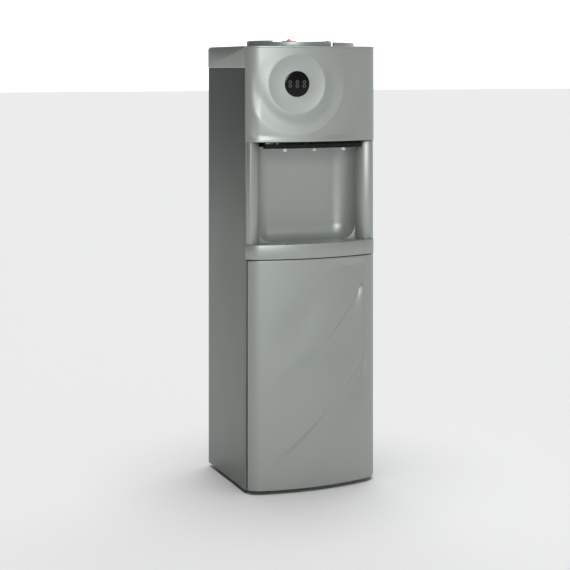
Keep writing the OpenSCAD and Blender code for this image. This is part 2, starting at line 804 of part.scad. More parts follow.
// Valve spring: one wire along a helix, six-sided
module valve_spring(x) {
    z0 = stem_head_z + 2 + spring_wire + 0.1;
    z1 = plate_z + valve_h - wall - spring_wire - 0.1;
    steps = 8;
    sides = 6;
    rings = spring_turns * steps;
    points = [for (i = [0:rings]) for (k = [0:sides - 1])
        let (a = 360 * i / steps, b = 360 * k / sides, r = spring_coil_r + spring_wire * cos(b))
        [x + r * cos(a), stem_y + r * sin(a), mix(z0, z1, i / rings) + spring_wire * sin(b)]];
    skin = [for (i = [0:rings - 1]) for (k = [0:sides - 1])
        let (n = (k + 1) % sides, a = i * sides + k, b = i * sides + n, c = a + sides, d = b + sides)
        each [[a, c, b], [b, c, d]]];
    color(zinc) polyhedron(points = points, faces = concat(skin,
        [[for (k = [0:sides - 1]) k]], [[for (k = [sides - 1:-1:0]) rings * sides + k]]), convexity = 6);
}

module spring_hot() { valve_spring(tap_x[0]); }
module spring_room() { valve_spring(tap_x[1]); }
module spring_cold() { valve_spring(tap_x[2]); }

// Tap: a valve chamber on the plate, with a nose that ends in the spout and an inlet behind
module tap(x) {
    nose_z = plate_z + 6;
    color(white) difference() {
        union() {
            translate([x, stem_y, plate_z]) cylinder(h = valve_h, r = valve_r);
            pipe([[x, stem_y, nose_z], [x, spout_y, nose_z], [x, spout_y, bar_z0 - spout_drop]], spout_r);
            pipe([[x, stem_y, inlet_z], [x, inlet_y, inlet_z], [x, inlet_y, inlet_z + inlet_rise]], hose_r - 1);
        }
        translate([x, stem_y, stem_head_z - 2])
            cylinder(h = plate_z + valve_h - wall - stem_head_z + 2, r = stem_head_r + 1);
        translate([x, stem_y, plate_z - 1]) cylinder(h = 20, r = stem_r + run_fit);
        translate([x, spout_y, bar_z0 - spout_drop - 1]) cylinder(h = 13, r = spout_r - 1.5);
    }
}

module tap_hot() { tap(tap_x[0]); }
module tap_room() { tap(tap_x[1]); }
module tap_cold() { tap(tap_x[2]); }

// Plate that closes the head from below and carries the taps
module tap_plate() {
    color(black) difference() {
        union() {
            front_slab(wall + 1, seam_y, head_z0, plate_z);
            box([-alcove_half - lip_r, seam_y - 1, head_z0], [alcove_half + lip_r, side_y, plate_z]);
            box([-alcove_half - wall, seam_y - 1, head_z0], [alcove_half + wall, plate_rear, plate_z]);
        }
        for (x = tap_x) {
            translate([x, stem_y, head_z0 - 1]) cylinder(h = plate_t + 2, r = stem_r + 0.5);
            translate([x, spout_y, head_z0 - 1]) cylinder(h = plate_t + 2, r = spout_r + 0.4);
        }
    }
}

// Head
module head_cover() {
    color(silver) difference() {
        pressed_skin("head", 0, seam_y, head_z0, head_z1, 40);
        on_bow(disc_x, disc_z) rotate([-90, 0, 0]) translate([0, 0, -9]) cylinder(h = 18, r = disc_r + 0.2);
    }
}

// Places its children on the bow over x, with +Y running inwards square to the surface
module on_bow(x, z) {
    translate([0, bow_y, z]) rotate([0, 0, asin(x / bow_r)]) translate([0, -bow_r, 0]) children();
}

module control_disc() {
    color(black) on_bow(disc_x, disc_z) rotate([-90, 0, 0]) {
        translate([0, 0, disc_sink]) cylinder(h = 6, r = disc_r);
        translate([0, 0, disc_sink + 3]) cylinder(h = 7, r = disc_r - 4);
    }
}

// Three indicators, each a pair of small rings
module indicator_rings() {
    color(white) on_bow(disc_x, disc_z) for (k = [-1, 0, 1]) for (dz = [-4.2, 4.2])
        translate([ring_pitch * k, disc_sink - 0.4, dz]) rotate([-90, 0, 0]) difference() {
            cylinder(h = 0.4, r = 3.8);
            translate([0, 0, -1]) cylinder(h = 2, r = 2.6);
        }
}

module control_board() {
    color([0.1, 0.35, 0.2]) on_bow(disc_x, disc_z)
        box([-24, disc_sink + 10 + play, -22], [24, disc_sink + 11.9, 22]);
}

// Space below the deck's top, a distance down, that falls away along the rear edge
module under_deck(down) {
    y0 = back_y - deck_fall_run;
    steps = 8;
    curve = [for (i = [0:steps]) let (run = deck_fall_run * i / steps)
        [y0 + run, deck_z - down - deck_fall_r + sqrt(pow(deck_fall_r, 2) - pow(run, 2))]];
    translate([-half_w - 1, 0, 0]) rotate([90, 0, 90]) linear_extrude(body_w + 2)
        polygon(concat([[back_y, 0], [seam_y - 2, 0], [seam_y - 2, deck_z - down]], curve));
}

// Sector of the seat's plan between two angles
module seat_sector(from, to) {
    reach = 2 * body_w;
    middle = (from + to) / 2;
    polygon([[0, 0], reach * [cos(from), sin(from)], 2 * reach * [cos(middle), sin(middle)],
        reach * [cos(to), sin(to)]]);
}

// Top cover: bowed deck, side caps, rear skirt and a low finger rail on the right of the bottle seat
module top_cover() {
    color(silver) difference() {
        union() {
            front_slab(0.8, seam_y, head_z1, deck_z);
            difference() {
                intersection() {
                    union() {
                        box([-half_w, seam_y - 1, head_z1], [half_w, back_y, deck_z]);
                        box([-half_w, seam_y, cap_z], [half_w, back_y, deck_z]);
                    }
                    under_deck(0);
                }
                intersection() {
                    box([-half_w + wall, seam_y - 1, cap_z - 1], [half_w - wall, back_y - wall, head_z1]);
                    under_deck(deck_t);
                }
            }
            translate([0, seat_y, deck_z - 1]) linear_extrude(rim_arc_h + 1) intersection() {
                difference() {
                    circle(r = rim_arc_r, $fn = 128);
                    circle(r = rim_arc_r - rim_arc_w, $fn = 128);
                }
                seat_sector(rim_arc_from, rim_arc_to);
            }
        }
        translate([0, seat_y, head_z1 - 1]) cylinder(h = deck_t + 2, r = collar_r - 4);
    }
}

// Bottle seat: collar, funnel and neck socket in one turned shape
module bottle_seat() {
    r0 = collar_r;
    hole_r = collar_r - 4.5;
    color(silver) difference() {
        translate([0, seat_y, 0]) rotate_extrude($fn = 128) polygon([
            [probe_r + run_fit, socket_floor], [socket_r + seat_t, socket_floor],
            [socket_r + seat_t, socket_z - 1], [hole_r, deck_z - 8], [hole_r, deck_z + play],
            [r0, deck_z + play], [r0, collar_z - 2], [r0 - 2, collar_z], [r0 - 6, collar_z],
            [r0 - 8, collar_z - 3], [r0 - 8, deck_z - 3], [socket_r + 3, socket_z + 2],
            [socket_r, socket_z - 2], [socket_r, socket_floor + seat_t],
            [probe_r + run_fit, socket_floor + seat_t]]);
        translate([0, seat_y, collar_z - dip_h]) linear_extrude(dip_h + 1)
            seat_sector(270 - dip_half, 270 + dip_half);
        for (a = [45:90:315]) translate([0, seat_y, socket_floor - 1]) rotate([0, 0, a])
            translate([(socket_r + probe_r) / 2, 0, 0]) cylinder(h = seat_t + 2, r = 5);
    }
}

module seat_probe() {
    color(white) translate([0, seat_y, 0]) difference() {
        union() {
            translate([0, 0, socket_floor - 6]) cylinder(h = probe_top - socket_floor + 6, r = probe_r);
            translate([0, 0, socket_floor + seat_t]) cylinder(h = 2, r = probe_r + 3);
            translate([0, 0, socket_floor - 2]) cylinder(h = 2, r = probe_r + 2);
        }
        translate([0, 0, socket_floor - 7]) cylinder(h = probe_top - socket_floor + 1, r = probe_r - 2);
        for (a = [0, 90])
            translate([0, 0, probe_top - 30]) rotate([90, 0, a]) cylinder(h = 40, r = 2.5, center = true);
    }
}

module probe_cap() {
    bore = probe_r + play;
    color(red) translate([0, seat_y, 0]) rotate_extrude($fn = 64) polygon([
        [0, collar_z - 3], [bore, collar_z - 3], [bore, collar_z - 24], [bore + 2, collar_z - 24],
        [bore + 2, collar_z - 2.6], [cap_r, collar_z - 2.6], [cap_r, collar_z - 0.8], [cap_r - 1.5, collar_z],
        [7, collar_z + 0.4], [5.2, collar_z + 1.6], [3.4, collar_z + 3.6], [1.8, collar_z + 4.5],
        [0, collar_z + 4.8]]);
}

// Cold side
module cold_tank() {
    out_z = cold_z + 45;
    top = foam_top - 2;
    color(zinc) difference() {
        union() {
            translate([0, seat_y, cold_z]) cylinder(h = top - cold_z, r = cold_r);
            for (x = [-30, 30]) pipe([[x, seat_y - 40, out_z], [x, seat_y - foam_r, out_z]], hose_r - 1);
            translate([0, seat_y + 29, foam_z]) cylinder(h = foam_t + 2, r = hose_r);
        }
        translate([0, seat_y, cold_z + sheet]) cylinder(h = top - cold_z, r = cold_r - sheet);
        translate([0, seat_y + 29, foam_z - 1]) cylinder(h = foam_t + 4, r = hose_r - 2);
        for (x = [-30, 30]) pipe([[x, seat_y - 30, out_z], [x, seat_y - foam_r - 1, out_z]], hose_r - 2.2);
    }
}

module cold_tank_foam() {
    out_z = cold_z + 45;
    color(white) difference() {
        translate([0, seat_y, foam_z]) cylinder(h = foam_top - foam_z, r = foam_r);
        translate([0, seat_y, cold_z - play]) cylinder(h = 300, r = cold_r + 9);
        for (x = [-30, 30]) translate([x, seat_y - 40, out_z]) rotate([90, 0, 0]) cylinder(h = 99, r = hose_r);
        translate([0, seat_y + 29, foam_z - 1]) cylinder(h = foam_t + 2, r = hose_r + 1);
        box([-8, seat_y + 30, foam_top - 20], [8, back_y, foam_top + 1]);
    }
}

module evaporator_coil() {
    r = 3.2;
    z0 = cold_z + 12;
    pitch = 12;
    coil_r = cold_r + r + play;
    color(copper) translate([0, seat_y, 0]) {
        for (k = [0, 1, 4, 5]) translate([0, 0, z0 + k * pitch])
            rotate_extrude($fn = 96) translate([coil_r, 0]) circle(r = r, $fn = 24);
        pipe([[0, coil_r, z0 - 6], [0, coil_r, foam_top - 10], [0, foam_r + 8, foam_top - 10]], r * knuckle);
    }
}

module shelf(z, y0) {
    half = half_w - sheet - play;
    y1 = back_y - sheet - play;
    difference() {
        union() {
            box([-half, y0, z], [half, y1, z + shelf_t]);
            for (side = [-1, 1]) box([side * half - (side > 0 ? shelf_t : 0), y0, z - 12],
                [side * half + (side < 0 ? shelf_t : 0), y1, z]);
        }
        box([-half + 30, y1 - 26, z - 1], [half - 30, y1 + 1, z + shelf_t + 1]);
        for (side = [-1, 1]) mirror([side < 0 ? 1 : 0, 0, 0])
            box([half_w - fold_r - 3, back_y - 12 - play, z - 13], [half_w, back_y, z + shelf_t + 1]);
        children();
    }
}

module tank_shelf() {
    color(zinc) shelf(shelf_z, plate_rear + play)
        for (p = [[0, seat_y + 29], [rise_x, rise_y]])
            translate([p[0], p[1], shelf_z - 1]) cylinder(h = shelf_t + 2, r = hose_r + 1.5);
}

module boiler_shelf() {
    color(zinc) shelf(boiler_shelf_z, alcove_back + wall + play);
}

// Hot side
module hot_tank() {
    color(zinc) difference() {
        union() {
            translate([0, hot_y, hot_z]) cylinder(h = hot_h, r = hot_r);
            translate([0, hot_y, hot_z + hot_h - 1]) cylinder(h = 8, r = hose_r);
            translate([-30, hot_y, hot_z + hot_h - 1]) cylinder(h = 8, r = hose_r);
            translate([0, hot_y, hot_z + 14]) rotate([0, 90, 0]) cylinder(h = hot_r + 8, r = 6);
        }
        translate([0, hot_y, hot_z + sheet]) cylinder(h = hot_h - 2 * sheet, r = hot_r - sheet);
    }
}

module hot_tank_jacket() {
    color(white) difference() {
        translate([0, hot_y, hot_z - jacket_t]) cylinder(h = hot_h + jacket_t - 4, r = hot_r + jacket_t);
        translate([0, hot_y, hot_z - play / 10]) cylinder(h = hot_h + 1, r = hot_r + play);
        translate([0, hot_y, hot_z + 14]) rotate([0, 90, 0]) cylinder(h = hot_r + 20, r = 6 + play);
    }
}

// Hoses: from the cold tank down to the room and cold taps, from the hot tank up to the hot tap, and the feed
module water_hoses() {
    out_z = cold_z + 45;
    tank_y = seat_y - foam_r;
    hot_top = hot_z + hot_h + 7;
    under_z = shelf_z - hose_r - 4;
    over_z = inlet_z + 30;
    end_z = inlet_z + inlet_rise;
    color(white) {
        for (run = [[30, tap_x[2]], [-30, tap_x[1]]])
            pipe([[run[0], tank_y, out_z], [run[0], inlet_y, out_z], [run[1], inlet_y, out_z],
                [run[1], inlet_y, end_z]], hose_r);
        pipe([[-30, hot_y, hot_top], [-30, hot_y, under_z], [rise_x, hot_y, under_z], [rise_x, rise_y, under_z],
            [rise_x, rise_y, over_z], [rise_x, inlet_y, over_z], [tap_x[0], inlet_y, over_z],
            [tap_x[0], inlet_y, end_z]], hose_r);
        segment([0, hot_y, hot_top], [0, hot_y, foam_z], hose_r);
    }
}

// Cooling machinery
module compressor() {
    seam = comp_h * 0.48;
    color(black) {
        translate([0, comp_y, comp_z]) rotate_extrude() polygon([[0, 0], [comp_r - 12, 0], [comp_r, 14],
            [comp_r, seam - 5], [comp_r + 2, seam - 3], [comp_r + 2, seam + 3], [comp_r, seam + 5],
            [comp_r, comp_h - 34],
            [comp_r - 10, comp_h - 14], [comp_r - 28, comp_h - 2], [0, comp_h]]);
        difference() {
            box([-foot_x - 10, comp_y - 48, comp_z - 3], [foot_x + 10, comp_y + 48, comp_z]);
            for (p = grommet_places()) translate([p[0], p[1], comp_z - 4]) cylinder(h = 5, r = 5 + play);
        }
        box([comp_r - 6, comp_y - 22, comp_z + seam - 9], [comp_r + 20, comp_y + 22, comp_z + comp_h - 42]);
    }
}

foot_x = comp_r + 8;
function grommet_places() = [for (x = [-1, 1]) for (y = [-1, 1]) [foot_x * x, comp_y + 38 * y]];

module compressor_grommets() {
    color([0.15, 0.15, 0.15]) for (p = grommet_places()) translate([p[0], p[1], pan_z]) {
        cylinder(h = comp_z - 3 - pan_z, r = 9);
        cylinder(h = comp_z + 2 - pan_z, r = 5);
        translate([0, 0, comp_z + play / 10 - pan_z]) cylinder(h = 3, r = 8);
    }
}

// Condenser: one tube that winds up the back, welded wires on both faces and clips on the cover
function run_port_x(z) = (z == run_z ? -1 : 1) * (run_half - 14);

module condenser_tube() {
    bend_r = run_pitch / 2;
    color(black) {
        for (i = [0:run_count - 1]) {
            z = run_z + i * run_pitch;
            x0 = i == 0 ? run_port_x(run_z) : -run_half;
            x1 = i == run_count - 1 ? run_port_x(run_top) : run_half;
            segment([x0, run_y, z], [x1, run_y, z], tube_r);
            if (i < run_count - 1) translate([(i % 2 == 0 ? 1 : -1) * run_half, run_y, z + bend_r])
                rotate([90, 0, 0]) intersection() {
                    rotate_extrude() translate([bend_r, 0]) circle(r = tube_r, $fn = 24);
                    translate([i % 2 == 0 ? 0 : -2 * bend_r, -2 * bend_r, -tube_r - 1])
                        cube([2 * bend_r, 4 * bend_r, 2 * tube_r + 2]);
                }
        }
        for (z = [run_z, run_top]) {
            translate([run_port_x(z), run_y, z]) sphere(r = tube_r * knuckle);
            segment([run_port_x(z), run_y, z], [run_port_x(z), back_y - 12, z], tube_r);
        }
    }
}

module condenser_wires() {
    reach = 14;
    color(black) for (i = [1:wire_count]) for (face = [-1, 1])
        translate([-run_half + i * wire_pitch, run_y + face * (tube_r + wire_r + 0.05), run_z - reach])
            cylinder(h = run_top - run_z + 2 * reach, r = wire_r, $fn = 16);
}

module condenser_clips() {
    color(black) for (side = [-1, 1]) for (i = [2, run_count - 3])
        translate([side * (run_half - wire_pitch / 2), 0, run_z + i * run_pitch]) difference() {
            box([-3.5, cover_y, -8], [3.5, run_y, 8]);
            translate([-9, run_y, 0]) rotate([0, 90, 0]) cylinder(h = 18, r = tube_r + 0.05);
        }
}

module filter_dryer() {
    color(copper) translate([run_port_x(run_z), dryer_y, dryer_z]) {
        cylinder(h = dryer_h, r = 9);
        cylinder(h = dryer_h + 20, r = 2.5);
    }
}

module refrigerant_pipes() {
    port_y = back_y - 12;
    low_x = run_port_x(run_z);
    high_x = run_port_x(run_top);
    evap_y = seat_y + foam_r + 8;
    port_x = 20;
    shell_y = comp_y + sqrt(pow(comp_r, 2) - pow(port_x, 2)) + 0.9;
    shell_z = comp_z + comp_h - 40;
    dryer_top = dryer_z + dryer_h + 20;
    pipe_r = 2.5;
    color(copper) {
        pipe([[port_x, shell_y, shell_z], [port_x, port_y - 8.5, shell_z], [high_x, port_y - 8.5, shell_z],
            [high_x, port_y - 8.5, run_top], [high_x, port_y, run_top]], pipe_r);
        pipe([[low_x, port_y, run_z], [low_x, port_y - 8, run_z], [low_x, port_y - 8, dryer_top + 15],
            [low_x, dryer_y, dryer_top + 15], [low_x, dryer_y, dryer_top]], pipe_r);
        pipe([[-port_x, shell_y, shell_z], [-port_x, port_y - 5, shell_z],
            [0, port_y - 5, shell_z + 20], [0, evap_y + pipe_r + 0.2, foam_top - 10]], pipe_r);
    }
}

// Back cover fittings
module switch_housing() {
    color(black) difference() {
        union() {
            box([switch_x - 24, cover_y, switch_z - 19], [switch_x + 24, cover_y + 2.5, switch_z + 19]);
            box([switch_x - 20.5, back_y - 14, switch_z - 15.5],
                [switch_x + 20.5, cover_y + 1, switch_z + 15.5]);
        }
        for (side = [-1, 1]) {
            translate([switch_x + side * switch_gap / 2, 0, switch_z])
                box([-6.5, back_y - 12, -12], [6.5, cover_y + 9, 12]);
            translate([switch_x + side * switch_gap / 2, cover_y - 2, switch_z]) rotate([0, 90, 0])
                cylinder(h = 17, r = 1.5 + run_fit, center = true);
        }
    }
}

module rocker(x, tint) {
    color(tint) translate([x, cover_y - 2, switch_z]) rotate([-switch_tilt, 0, 0]) {
        rotate([90, 0, 90]) translate([0, 0, -6]) linear_extrude(12)
            polygon([[-5, -7], [4, -10.4], [7.2, -10], [5.2, 0], [7.2, 10], [4, 10.4], [-5, 7]]);
        rotate([0, 90, 0]) cylinder(h = 15.6, r = 1.5, center = true);
    }
}

module rocker_hot() { rocker(switch_x - switch_gap / 2, red); }
module rocker_cold() { rocker(switch_x + switch_gap / 2, [0.15, 0.3, 0.65]); }

module drain_outlet() {
    color(white) translate([drain_x, 0, drain_z]) rotate([-90, 0, 0]) difference() {
        union() {
            translate([0, 0, back_y - 30]) cylinder(h = cover_y + 12 - back_y + 30, r = 8);
            translate([0, 0, back_y - 5]) cylinder(h = 4, r = 12);
        }
        translate([0, 0, back_y - 31]) cylinder(h = 60, r = 5);
    }
}

module drain_cap() {
    color(black) translate([drain_x, cover_y + 2, drain_z]) rotate([-90, 0, 0]) difference() {
        union() {
            cylinder(h = 14, r = 11);
            for (a = [0:30:330]) rotate([0, 0, a]) translate([11, 0, 0]) cylinder(h = 14, r = 1.2, $fn = 16);
        }
        translate([0, 0, -1]) cylinder(h = 11 + play, r = 8 + play);
    }
}

module cord_gland() {
    color(black) translate([gland_x, 0, gland_z]) rotate([-90, 0, 0]) difference() {
        union() {
            translate([0, 0, back_y - 6]) cylinder(h = 12, r = 8);
            translate([0, 0, cover_y]) cylinder(h = 3, r = 11);
            translate([0, 0, back_y - 4]) cylinder(h = 3, r = 10);
        }
        translate([0, 0, back_y - 7]) cylinder(h = 16, r = gland_r);
    }
}

feet();
base_pan();
left_side_panel();
right_side_panel();
back_cover();
cover_screws();
front_frame();
cupboard_liner();
hinge_brackets();
strike_plate();
door_panel();
door_liner();
door_gasket();
door_magnet();
drip_tray();
drip_cover();
alcove_panel();
key_bar();
key_hot();
key_room();
key_cold();
stem_hot();
stem_room();
stem_cold();
spring_hot();
spring_room();
spring_cold();
tap_hot();
tap_room();
tap_cold();
tap_plate();
head_cover();
control_disc();
indicator_rings();
control_board();
top_cover();
bottle_seat();
seat_probe();
probe_cap();
cold_tank();
cold_tank_foam();
evaporator_coil();
tank_shelf();
boiler_shelf();
hot_tank();
hot_tank_jacket();
water_hoses();
compressor();
compressor_grommets();
condenser_tube();
condenser_wires();
condenser_clips();
filter_dryer();
refrigerant_pipes();
switch_housing();
rocker_hot();
rocker_cold();
drain_outlet();
drain_cap();
cord_gland();
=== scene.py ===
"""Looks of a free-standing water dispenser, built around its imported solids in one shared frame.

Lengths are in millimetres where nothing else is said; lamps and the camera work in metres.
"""

from __future__ import annotations

import functools
import json
import logging
import math
from dataclasses import dataclass, field
from enum import Enum
from typing import Callable, Iterable

import bmesh
import bpy
import numpy as np
from mathutils import Matrix, Vector

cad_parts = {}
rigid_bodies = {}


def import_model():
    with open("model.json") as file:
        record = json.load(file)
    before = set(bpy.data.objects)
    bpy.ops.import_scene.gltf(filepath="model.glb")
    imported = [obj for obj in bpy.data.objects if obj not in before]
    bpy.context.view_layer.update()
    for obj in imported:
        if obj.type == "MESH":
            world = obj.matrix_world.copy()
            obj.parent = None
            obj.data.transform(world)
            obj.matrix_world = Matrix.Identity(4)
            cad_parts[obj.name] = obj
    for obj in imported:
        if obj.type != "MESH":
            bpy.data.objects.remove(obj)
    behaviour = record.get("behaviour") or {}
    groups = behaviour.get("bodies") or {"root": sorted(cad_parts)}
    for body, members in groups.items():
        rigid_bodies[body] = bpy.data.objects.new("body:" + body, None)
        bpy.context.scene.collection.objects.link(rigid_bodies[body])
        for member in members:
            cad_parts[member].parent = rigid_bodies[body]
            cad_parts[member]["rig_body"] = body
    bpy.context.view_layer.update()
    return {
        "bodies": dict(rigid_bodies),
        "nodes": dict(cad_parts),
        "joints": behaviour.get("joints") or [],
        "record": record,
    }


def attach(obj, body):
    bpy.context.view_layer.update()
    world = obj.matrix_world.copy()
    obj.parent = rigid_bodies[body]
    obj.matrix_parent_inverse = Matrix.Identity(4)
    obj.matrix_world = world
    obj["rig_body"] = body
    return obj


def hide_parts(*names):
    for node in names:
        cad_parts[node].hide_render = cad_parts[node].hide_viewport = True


MM = 0.001
WELD = 2e-6
TURNED_WELD = 1e-6
FLAT_ANGLE = math.radians(0.4)
NODE_SHARP = math.radians(35)
LOG = logging.getLogger("dispenser")
Point = tuple[float, float, float]
Colour = tuple[float, float, float]
Relief = Callable[[np.ndarray, np.ndarray], np.ndarray]


class Body(str, Enum):
    """Bodies that the pieces made here ride on; dressed copies keep their node's own."""

    CABINET = "cabinet"
    DOOR = "door"


class Grain(Enum):
    """Kinds of fine surface relief."""

    FLAKE = "metal flakes under lacquer"
    BRUSHED = "long upright brush marks"
    MOULDED = "fine pebbled moulding"
    POLISHED = "polished, with faint dust"
    CAST = "rolling enamel or rubber"
    FOAM = "open beads"


@dataclass(frozen=True)
class Finish:
    """One surface finish, made as a procedural material.

    Attributes:
        slot: Material slot of the record that it belongs to.
        colour: Base colour, linear.
        metallic: Share of metal.
        roughness: Mean roughness.
        coat: Weight of the clear coat.
        grain: Kind of relief.
        scale: Frequency of the relief, per metre.
        depth: Depth of the relief, in metres.
        mottle: Variation of the colour.
        wear: Variation of the roughness.
        specular: Strength of the mirror-like part.
    """

    slot: str
    colour: Colour
    metallic: float = 0.0
    roughness: float = 0.5
    coat: float = 0.0
    grain: Grain = Grain.MOULDED
    scale: float = 900.0
    depth: float = 0.00004
    mottle: float = 0.05
    wear: float = 0.06
    specular: float = 0.5

    def material(self) -> bpy.types.Material:
        """Gives the finish's material, made once.

        Returns:
            The material.
        """
        made = bpy.data.materials.get("finish_" + self.slot)
        if made is not None:
            return made
        made = bpy.data.materials.new("finish_" + self.slot)
        made.use_nodes = True
        nodes, links = made.node_tree.nodes, made.node_tree.links
        shader = nodes["Principled BSDF"]
        shader.inputs["Metallic"].default_value = self.metallic
        shader.inputs["Coat Weight"].default_value = self.coat
        shader.inputs["Coat Roughness"].default_value = 0.08
        shader.inputs["Specular IOR Level"].default_value = self.specular
        place = nodes.new("ShaderNodeTexCoord").outputs["Object"]
        fine = self._fine_relief(nodes, links, place)
        cloud = nodes.new("ShaderNodeTexNoise")
        cloud.inputs["Scale"].default_value = 9.0
        cloud.inputs["Detail"].default_value = 5.0
        links.new(place, cloud.inputs["Vector"])
        both = nodes.new("ShaderNodeMath")
        both.operation = "ADD"
        links.new(fine, both.inputs[0])
        links.new(cloud.outputs["Fac"], both.inputs[1])
        spread = nodes.new("ShaderNodeMapRange")
        spread.inputs["From Min"].default_value = 0.5
        spread.inputs["From Max"].default_value = 1.5
        spread.inputs["To Min"].default_value = self.roughness - self.wear
        spread.inputs["To Max"].default_value = self.roughness + self.wear
        links.new(both.outputs[0], spread.inputs["Value"])
        links.new(spread.outputs["Result"], shader.inputs["Roughness"])
        tint = nodes.new("ShaderNodeMix")
        tint.data_type = "RGBA"
        tint.inputs["A"].default_value = (*[c * (1 - self.mottle) for c in self.colour], 1)
        tint.inputs["B"].default_value = (*[min(1, c * (1 + self.mottle)) for c in self.colour], 1)
        halve = nodes.new("ShaderNodeMath")
        halve.operation = "MULTIPLY"
        halve.inputs[1].default_value = 0.5
        links.new(both.outputs[0], halve.inputs[0])
        links.new(halve.outputs[0], tint.inputs["Factor"])
        links.new(tint.outputs["Result"], shader.inputs["Base Color"])
        bump = nodes.new("ShaderNodeBump")
        bump.inputs["Strength"].default_value = 1.0
        bump.inputs["Distance"].default_value = self.depth
        links.new(fine, bump.inputs["Height"])
        links.new(bump.outputs["Normal"], shader.inputs["Normal"])
        return made

    def _fine_relief(self, nodes, links, place) -> bpy.types.NodeSocket:
        """Adds the nodes of the grain.

        Args:
            nodes: Nodes of the material.
            links: Links of the material.
            place: Output with Object coordinates.

        Returns:
            The output with the relief, about 0 to 1.
        """
        stretch = nodes.new("ShaderNodeMapping")
        stretch.inputs["Scale"].default_value = (1, 1, 0.012) if self.grain is Grain.BRUSHED else (1, 1, 1)
        links.new(place, stretch.inputs["Vector"])
        if self.grain in (Grain.FLAKE, Grain.FOAM, Grain.MOULDED):
            cells = nodes.new("ShaderNodeTexVoronoi")
            cells.feature = "F1" if self.grain is Grain.FLAKE else "SMOOTH_F1"
            cells.inputs["Scale"].default_value = self.scale
            links.new(stretch.outputs["Vector"], cells.inputs["Vector"])
            return cells.outputs["Distance"]
        noise = nodes.new("ShaderNodeTexNoise")
        noise.inputs["Scale"].default_value = self.scale
        noise.inputs["Detail"].default_value = 8.0 if self.grain is Grain.BRUSHED else 3.0
        noise.inputs["Roughness"].default_value = 0.65 if self.grain is Grain.BRUSHED else 0.5
        links.new(stretch.outputs["Vector"], noise.inputs["Vector"])
        return noise.outputs["Fac"]


SILVER = Finish("silver_cover", (0.35, 0.377, 0.352), 0.62, 0.46, 0.0, Grain.FLAKE, 2600, 0.000004,
                0.04, 0.04)
# Side panels' steel: colour darker than SILVER, partly the steel's own tone and partly painted shade of the
# left-facing sides
STEEL_SIDE_TONE_AND_SHADE = Finish("steel_side", (0.20, 0.22, 0.20), 0.75, 0.42, 0.0, Grain.BRUSHED, 420, 0.00001, 0.08, 0.05)
GLOSS_BLACK = Finish("black_gloss", (0.004, 0.0042, 0.0045), 0.0, 0.16, 0.0, Grain.POLISHED, 60, 0.000002,
                     0.2, 0.04, 0.2)
BLACK = Finish("black_matte", (0.012, 0.012, 0.013), 0.0, 0.55, 0.0, Grain.MOULDED, 1100, 0.00003, 0.2)
WHITE = Finish("white_plastic", (0.62, 0.62, 0.59), 0.0, 0.38, 0.1, Grain.MOULDED, 700, 0.000012, 0.03)
LIGHT = Finish("light_ring", (0.20, 0.21, 0.21), 0.0, 0.35, 0.1, Grain.POLISHED, 90, 0.000002, 0.04)
RED = Finish("red_plastic", (0.42, 0.012, 0.035), 0.0, 0.3, 0.4, Grain.POLISHED, 120, 0.000004, 0.08)
BLUE = Finish("blue_plastic", (0.02, 0.07, 0.36), 0.0, 0.3, 0.4, Grain.POLISHED, 120, 0.000004, 0.08)
ZINC = Finish("zinc_steel", (0.42, 0.43, 0.44), 0.9, 0.42, 0.0, Grain.CAST, 180, 0.00002, 0.12, 0.1)
TANK = Finish("tank_steel", (0.52, 0.52, 0.50), 1.0, 0.28, 0.0, Grain.BRUSHED, 500, 0.000008, 0.08, 0.06)
COPPER = Finish("copper_pipe", (0.60, 0.25, 0.13), 1.0, 0.32, 0.0, Grain.CAST, 140, 0.00001, 0.2, 0.12)
ENAMEL = Finish("black_metal", (0.010, 0.010, 0.011), 0.0, 0.34, 0.3, Grain.CAST, 420, 0.00003, 0.2, 0.08)
RUBBER = Finish("rubber", (0.014, 0.014, 0.014), 0.0, 0.75, 0.0, Grain.CAST, 900, 0.00004, 0.25, 0.1)
FOAM = Finish("foam", (0.60, 0.56, 0.42), 0.0, 0.9, 0.0, Grain.FOAM, 260, 0.0004, 0.14)
BOARD = Finish("board", (0.015, 0.12, 0.045), 0.0, 0.35, 0.5, Grain.CAST, 300, 0.00001, 0.25)
SPRING = Finish("spring_steel", (0.55, 0.55, 0.55), 1.0, 0.2, 0.0, Grain.CAST, 200, 0.000004, 0.08)
HOSE = Finish("hose", (0.55, 0.54, 0.48), 0.0, 0.45, 0.1, Grain.CAST, 260, 0.00001, 0.08)
FINISHES = {f.slot: f for f in (SILVER, STEEL_SIDE_TONE_AND_SHADE, GLOSS_BLACK, BLACK, WHITE, LIGHT, RED, BLUE, ZINC, TANK, COPPER,
                                ENAMEL, RUBBER, FOAM, BOARD, SPRING, HOSE)}


def smooth_step(t: np.ndarray) -> np.ndarray:
    """Eases from 0 to 1 as t goes from 0 to 1.

    Args:
        t: Any values.

    Returns:
        Values from 0 to 1.
    """
    c = np.clip(t, 0.0, 1.0)
    return c * c * (3 - 2 * c)


def mesh_object(name: str, verts: Iterable[Point], faces: Iterable[tuple[int, ...]]) -> bpy.types.Object:
    """Makes an object from points in millimetres.

    Args:
        name: Name of the object.
        verts: Points, in millimetres.
        faces: Faces, as indices of points.

    Returns:
        The object, linked to the scene.
    """
    mesh = bpy.data.meshes.new(name)
    mesh.from_pydata([tuple(c * MM for c in v) for v in verts], [], list(faces))
    mesh.validate()
    made = bpy.data.objects.new(name, mesh)
    bpy.context.scene.collection.objects.link(made)
    return made


def applied(piece: bpy.types.Object) -> bpy.types.Object:
    """Turns a piece's modifiers into plain mesh.

    Args:
        piece: A mesh object.

    Returns:
        The same object, with no modifiers left.
    """
    graph = bpy.context.evaluated_depsgraph_get()
    mesh = bpy.data.meshes.new_from_object(piece.evaluated_get(graph), preserve_all_data_layers=True,
                                           depsgraph=graph)
    piece.modifiers.clear()
    piece.data = mesh
    return piece


